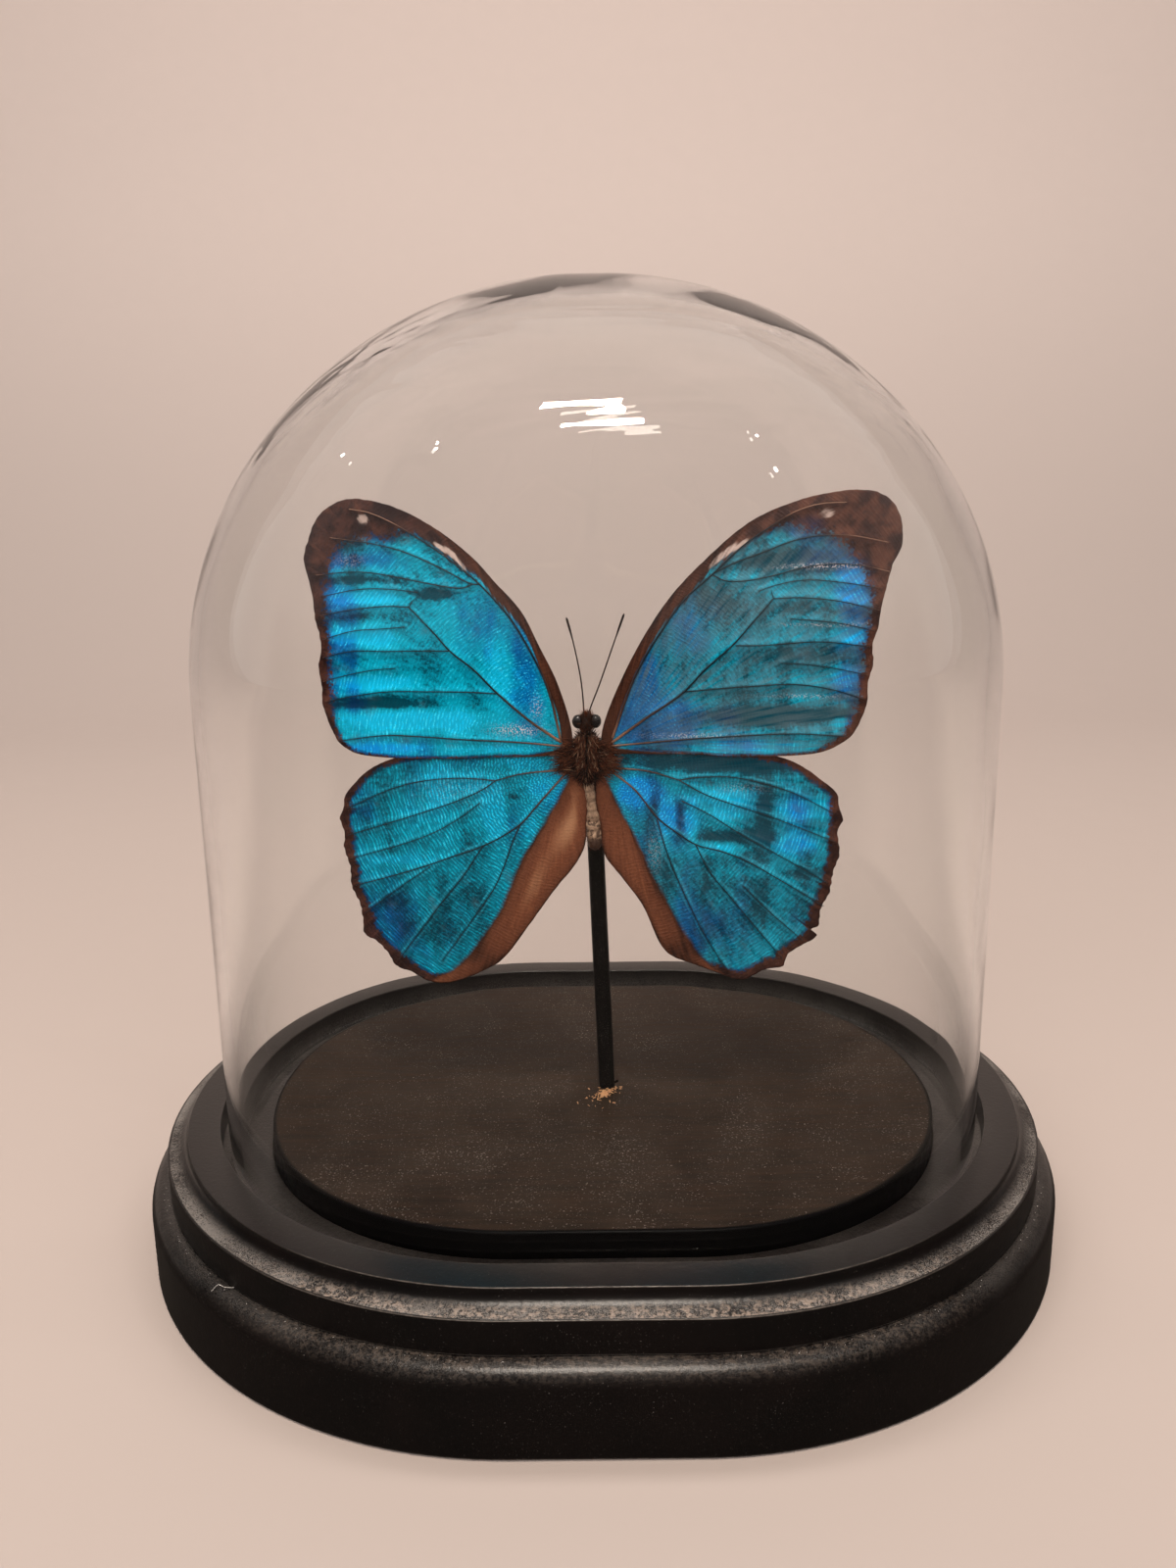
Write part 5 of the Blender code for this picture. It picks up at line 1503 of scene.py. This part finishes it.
    @staticmethod
    def abdomen(skin, fur):
        """A tapering body along a line, its radius swelling between seven creases; creases are
        where the cosine of the run along it peaks."""
        start = np.array([-1.75 * MM, -4.7 * MM, ABDOMEN_HIGH.z])
        end = np.array([-0.5 * MM, -4.3 * MM, ABDOMEN_LOW.z])
        sides = 40
        t = np.linspace(0, 1, 150)
        bow = np.stack([0.35 * np.sin(t * math.pi), -0.2 * np.sin(t * math.pi), 0 * t], axis=1) * MM
        path = start + (end - start) * t[:, None] + bow
        segment = 0.5 - 0.5 * np.cos(2 * math.pi * (t * 7 + 0.15))
        taper = np.interp(
            t, [0, 0.25, 0.42, 0.55, 0.85, 0.96, 1.0], [0.72, 0.70, 0.80, 1.0, 1.02, 0.85, 0.45])
        radius = 1.62 * MM * taper * (0.93 + 0.09 * segment ** 0.5)
        points, faces = tube(path, radius, sides=sides, cap=0.5)
        along = np.concatenate([np.repeat(t, sides), [0, 1]])
        crease = np.concatenate([np.repeat(np.exp(-(segment / 0.16) ** 2), sides), [0, 0]])
        dent = 0.05 * ripple(points, 2.6 * MM, 50, 3)
        center = np.concatenate([np.repeat(path, sides, axis=0), path[:1], path[-1:]])
        dark = np.clip((along - 0.80) / 0.07, 0, 1) * 0.95 + 0.35 * np.exp(-((along - 0.50) / 0.02) ** 2)
        shape = Shape()
        shape.add(center + (points - center) * (1 + dent)[:, None], faces, crease=crease,
                  dark=np.clip(dark, 0, 1), spotted=np.clip((along - 0.45) / 0.1, 0.1, 1))
        draw = np.random.default_rng(79)
        count = 900
        where = draw.uniform(0, 1, count) ** 0.8
        turn = draw.uniform(0, 2 * math.pi, count)
        outward = unit(np.stack([np.cos(turn), np.sin(turn), np.full(count, -0.7)], axis=1))
        spot = np.stack([np.interp(where, t, path[:, k]) for k in range(3)], axis=1)
        roots = spot + unit(outward * (1, 1, 0)) * np.interp(where, t, radius)[:, None] * 0.96
        hair_coat(shape, roots, outward * (0.5, 0.5, 1.2), draw.uniform(0.3, 0.8, count) * MM,
                  0.3 + 0.6 * draw.uniform(size=count), draw, width=0.03 * MM, slot=1)
        finish_piece(shape.build("abdomen_skin", [skin, fur]), ["abdomen"])


class SPECIMEN_OT_feelers(bpy.types.Operator):
    """Make the two antennae with their slightly swollen tips"""

    bl_idname = "specimen.feelers"
    bl_label = "Antennae"

    def execute(self, context):
        material = plain_grain_material(
            "dark feeler", (0.004, 0.002, 0.0015), (0.020, 0.008, 0.005), 0.4, 0.3, Specular_IOR_Level=0.15)
        steps = 110
        t = np.linspace(0, 1, steps)
        swell = np.interp(
            t, [0, 0.03, 0.08, 0.78, 0.9, 0.98, 1.0], [0.30, 0.24, 0.15, 0.14, 0.24, 0.24, 0.12])
        rings = 1 + 0.08 * np.sin(t * 2 * math.pi * 42)
        for name, points in ANTENNAE.items():
            base = np.array(points[0]) - np.array([0.0, 0.1, 1.2])
            path = even_steps(smooth_curve([tuple(base), *points]), steps) * MM
            shape = Shape()
            shape.add(*tube(path, swell * rings * MM, sides=12, cap=0.8))
            finish_piece(shape.build(name + "_feeler", [material]), [name])
        return {"FINISHED"}


class SPECIMEN_OT_dust(bpy.types.Operator):
    """Lay the stray thread and a few specks on the plinth"""

    bl_idname = "specimen.dust"
    bl_label = "Thread and specks"

    def execute(self, context):
        lint = plain_grain_material("pale lint", (0.34, 0.30, 0.27), (0.60, 0.56, 0.52), 0.7, 0.3)
        top, count = PLINTH_HIGH.z, 260
        thread = np.array([(-68.5, -55.5, 0.10), (-66.2, -56.9, 0.35), (-65.8, -59.0, 0.12),
                           (-68.0, -59.6, 0.45), (-69.6, -58.4, 0.12), (-70.3, -60.2, 0.10)])
        thread = thread * MM + (0, 0, top)
        shape = Shape()
        shape.add(*tube(even_steps(smooth_curve(thread), 60), 0.055 * MM, sides=6))
        draw = np.random.default_rng(9)
        turn = draw.uniform(0, 2 * math.pi, count)
        ledge = draw.uniform(COLLAR_HIGH.y + 0.3 * MM, PLINTH_HIGH.y - 2.4 * MM, count)
        straight = np.where(np.cos(turn) > 0, HALF_STRAIGHT, -HALF_STRAIGHT)
        x, y = straight + ledge * np.cos(turn), ledge * np.sin(turn)
        for px, py, size in zip(x, y, draw.uniform(0.03, 0.11, count) * MM):
            shape.add(*ellipsoid((px, py, top + size * 0.5), (size, size * 0.8, size * 0.6), 3, 5))
        finish_piece(shape.build("stray_lint", [lint]), [])
        return {"FINISHED"}


# ---------------------------------------------------------------- stage

class SPECIMEN_OT_stage(bpy.types.Operator):
    """Make the floor with its backdrop, the lamps and the camera"""

    bl_idname = "specimen.stage"
    bl_label = "Stage"

    def execute(self, context):
        settings = context.scene.specimen_stage
        self.backdrop(settings)
        self.world(settings)
        self.lamps(settings)
        self.camera(settings)
        return {"FINISHED"}

    @staticmethod
    def backdrop(settings):
        """A sheet carried along x: floor, a quarter turn, and an upright wall behind, a little darker
        low down. Mirrored rays see the floor in front of the base dark, as a small table in a
        dim room, so the glass stays clear."""
        bend, back, wall, side = 0.85, 0.6, 2.6, 4.0
        turn = np.linspace(0, math.pi / 2, 32)
        material, tree = new_material("backdrop paper", Specular_IOR_Level=0.2)
        place, color = place_of(tree), tuple(settings.floor)
        fine = noise(place, 60.0, 3.0)
        mirrored = math_of("MINIMUM", output(tree, "ShaderNodeLightPath", "Glossy Depth"), 1.0)
        tone = layers(
            mix(fine, [part * 0.97 for part in color], color),
            (remap(axis_of(place, "Z"), 0.6, 0.0), [part * 0.78 for part in color]),
            (mirrored * remap(axis_of(place, "Y"), 0.09, 0.0, 0.0, 0.96), (0.02, 0.016, 0.013)))
        connect(material, tone, remap(fine, 0, 1, 0.7, 0.8))
        y = np.concatenate([[-4.0], back + bend * np.sin(turn), [back + bend]])
        z = np.concatenate([[0.0], bend - bend * np.cos(turn), [wall]]) - 0.0002
        points = np.stack(np.broadcast_arrays(np.array([[-side, side]]), y[:, None], z[:, None]), axis=-1)
        mesh = bpy.data.meshes.new("backdrop")
        mesh.from_pydata(points.reshape(-1, 3).tolist(), [], grid_faces(len(y), 2).tolist())
        mesh.polygons.foreach_set("use_smooth", np.ones(len(mesh.polygons), bool))
        mesh.materials.append(material)
        sheet = bpy.data.objects.new("backdrop", mesh)
        bpy.context.scene.collection.objects.link(sheet)

    @staticmethod
    def world(settings):
        """Even light all round. It is a pale room to the eye and to rays bent by the glass, and to
        mirrored rays that go away from the camera; to other mirrored rays it is dim."""
        world = bpy.data.worlds.new("studio")
        world.use_nodes = True
        tree = world.node_tree
        background = tree.nodes["Background"]
        background.inputs["Color"].default_value = (1.0, 0.95, 0.91, 1.0)
        toward = output(tree, "ShaderNodeTexCoord", "Generated")
        across, up = axis_of(toward, "Y"), axis_of(toward, "Z")
        seen, bent, mirrored, bounces = (output(tree, "ShaderNodeLightPath", name) for name in (
            "Is Camera Ray", "Is Transmission Ray", "Is Glossy Ray", "Glossy Depth"))
        open_side = larger(remap(across, -0.05, 0.1), remap(up, 0.1, 0.35))
        through = larger(bent * larger(open_side, math_of("LESS_THAN", bounces, 0.5)), seen)
        through = larger(through, mirrored * remap(across, 0.1, 0.4))
        strength = through * settings.surround + settings.ambient + mirrored * (-0.8 * settings.ambient)
        plug(tree, background.inputs["Strength"], strength)
        bpy.context.scene.world = world

    @staticmethod
    def lamps(settings):
        """Two ceiling lamps and four small ones, whose glints the glass shows, and four wide lamps on
        the piece and the wall, hidden from mirrored and bent rays. Each row gives the name, the
        direction, the distance from the dome's middle, width, length, power, colour and whether
        the lamp is seen."""
        middle = Vector((0, 0, 0.11))
        warm, pale = (1.0, 0.89, 0.78), (1, 0.96, 0.9)
        key, wash, front = settings.key_power, settings.wash_power, settings.front_power
        rows = (
            ("ceiling lamp", (-0.01, -0.275, 0.955), 1.3, 0.11, 0.07, key * 0.55, warm, True),
            ("ceiling lamp in front", (0.01, -0.40, 0.915), 1.3, 0.12, 0.04, key * 0.45, warm, True),
            ("small lamp left", (-0.41, -0.36, 0.84), 1.3, 0.022, 0.022, 0.25, pale, True),
            ("small lamp far left", (-0.71, 0.02, 0.68), 1.3, 0.022, 0.022, 0.2, pale, True),
            ("small lamp right", (0.45, -0.31, 0.84), 1.3, 0.018, 0.018, 0.3, pale, True),
            ("small lamp far right", (0.52, -0.40, 0.76), 1.3, 0.018, 0.018, 0.3, pale, True),
            ("front softbox", (-0.25, -0.80, 0.55), 1.6, 1.1, 1.1, front, (1, 0.97, 0.94), False),
            ("left wash", (-0.60, -0.75, 0.35), 2.4, 1.4, 1.4, wash, (1, 0.97, 0.95), False),
            ("right wash", (0.62, -0.72, 0.35), 2.4, 1.4, 1.4, wash, (1, 0.96, 0.93), False),
        )
        for name, toward, distance, *rest in rows:
            area_lamp(name, middle + Vector(toward).normalized() * distance, middle, *rest)
        area_lamp("wall wash", Vector((0.0, 0.45, 1.9)), Vector((0, 1.45, 0.30)), 2.6, 0.6,
                  settings.wall_power, (1, 0.97, 0.95), False)

    @staticmethod
    def camera(settings):
        """The camera's axes come from its pitch, its heading and a small roll."""
        pitch, heading, roll = (math.radians(angle) for angle in (12.75, -0.4, -0.89))
        level = math.cos(pitch)
        ahead = Vector((math.sin(heading) * level, math.cos(heading) * level, -math.sin(pitch)))
        right = Vector((math.cos(heading), -math.sin(heading), 0))
        up = right.cross(ahead)
        across = right * math.cos(roll) + up * math.sin(roll)
        upward = up * math.cos(roll) - right * math.sin(roll)
        data = bpy.data.cameras.new("camera")
        data.lens = settings.lens
        data.sensor_width = 36.0
        data.clip_start = 0.01
        camera = bpy.data.objects.new("camera", data)
        turned = Matrix((across, upward, -ahead)).transposed().to_4x4()
        camera.matrix_world = Matrix.Translation((-0.00015, -0.24535, 0.15056)) @ turned
        bpy.context.scene.collection.objects.link(camera)
        bpy.context.scene.camera = camera
        bpy.context.scene.view_settings.view_transform = "Standard"


def area_lamp(name, place, target, width, length, power, color, seen):
    """A rectangular lamp at a place, turned towards the target, and seen or not by mirrored and
    bent rays."""
    light = bpy.data.lights.new(name, "AREA")
    light.shape = "RECTANGLE"
    light.size, light.size_y, light.energy, light.color = width, length, power, color
    lamp = bpy.data.objects.new(name, light)
    lamp.location = place
    lamp.rotation_euler = (lamp.location - target).to_track_quat("Z", "Y").to_euler()
    lamp.visible_glossy = seen
    lamp.visible_transmission = seen
    bpy.context.scene.collection.objects.link(lamp)


# ---------------------------------------------------------------- panel and registration

class SPECIMEN_PT_panel(bpy.types.Panel):
    """Lists the pieces in the order that they are made"""

    bl_idname = "SPECIMEN_PT_panel"
    bl_label = "Mounted butterfly"
    bl_space_type = "VIEW_3D"
    bl_region_type = "UI"
    bl_category = "Specimen"

    def draw(self, context):
        for settings_name, operators in STEPS:
            box = self.layout.box()
            settings = getattr(context.scene, settings_name, None) if settings_name else None
            if settings is not None:
                for key in settings.bl_rna.properties.keys():
                    if key not in ("rna_type", "name"):
                        box.prop(settings, key)
            for operator in operators:
                box.operator("specimen." + operator)


SETTINGS = {
    "specimen_base": BaseSettings,
    "specimen_glass": GlassSettings,
    "specimen_wing": WingSettings,
    "specimen_body": BodySettings,
    "specimen_stage": StageSettings,
}
STEPS = (
    ("specimen_base", ("base", "dust")),
    ("specimen_glass", ("glass",)),
    ("", ("rod",)),
    ("specimen_wing", ("wings",)),
    ("specimen_body", ("body", "feelers")),
    ("specimen_stage", ("stage",)),
)
CLASSES = (
    *SETTINGS.values(), SPECIMEN_OT_base, SPECIMEN_OT_glass, SPECIMEN_OT_rod, SPECIMEN_OT_wings,
    SPECIMEN_OT_body, SPECIMEN_OT_feelers, SPECIMEN_OT_dust, SPECIMEN_OT_stage, SPECIMEN_PT_panel,
)


def register():
    for item in CLASSES:
        bpy.utils.register_class(item)
    for name, settings in SETTINGS.items():
        setattr(bpy.types.Scene, name, PointerProperty(type=settings))


def unregister():
    for name in SETTINGS:
        delattr(bpy.types.Scene, name)
    for item in reversed(CLASSES):
        bpy.utils.unregister_class(item)


def main():
    register()
    for _, operators in STEPS:
        for operator in operators:
            getattr(bpy.ops.specimen, operator)()


if __name__ == "__main__":
    main()
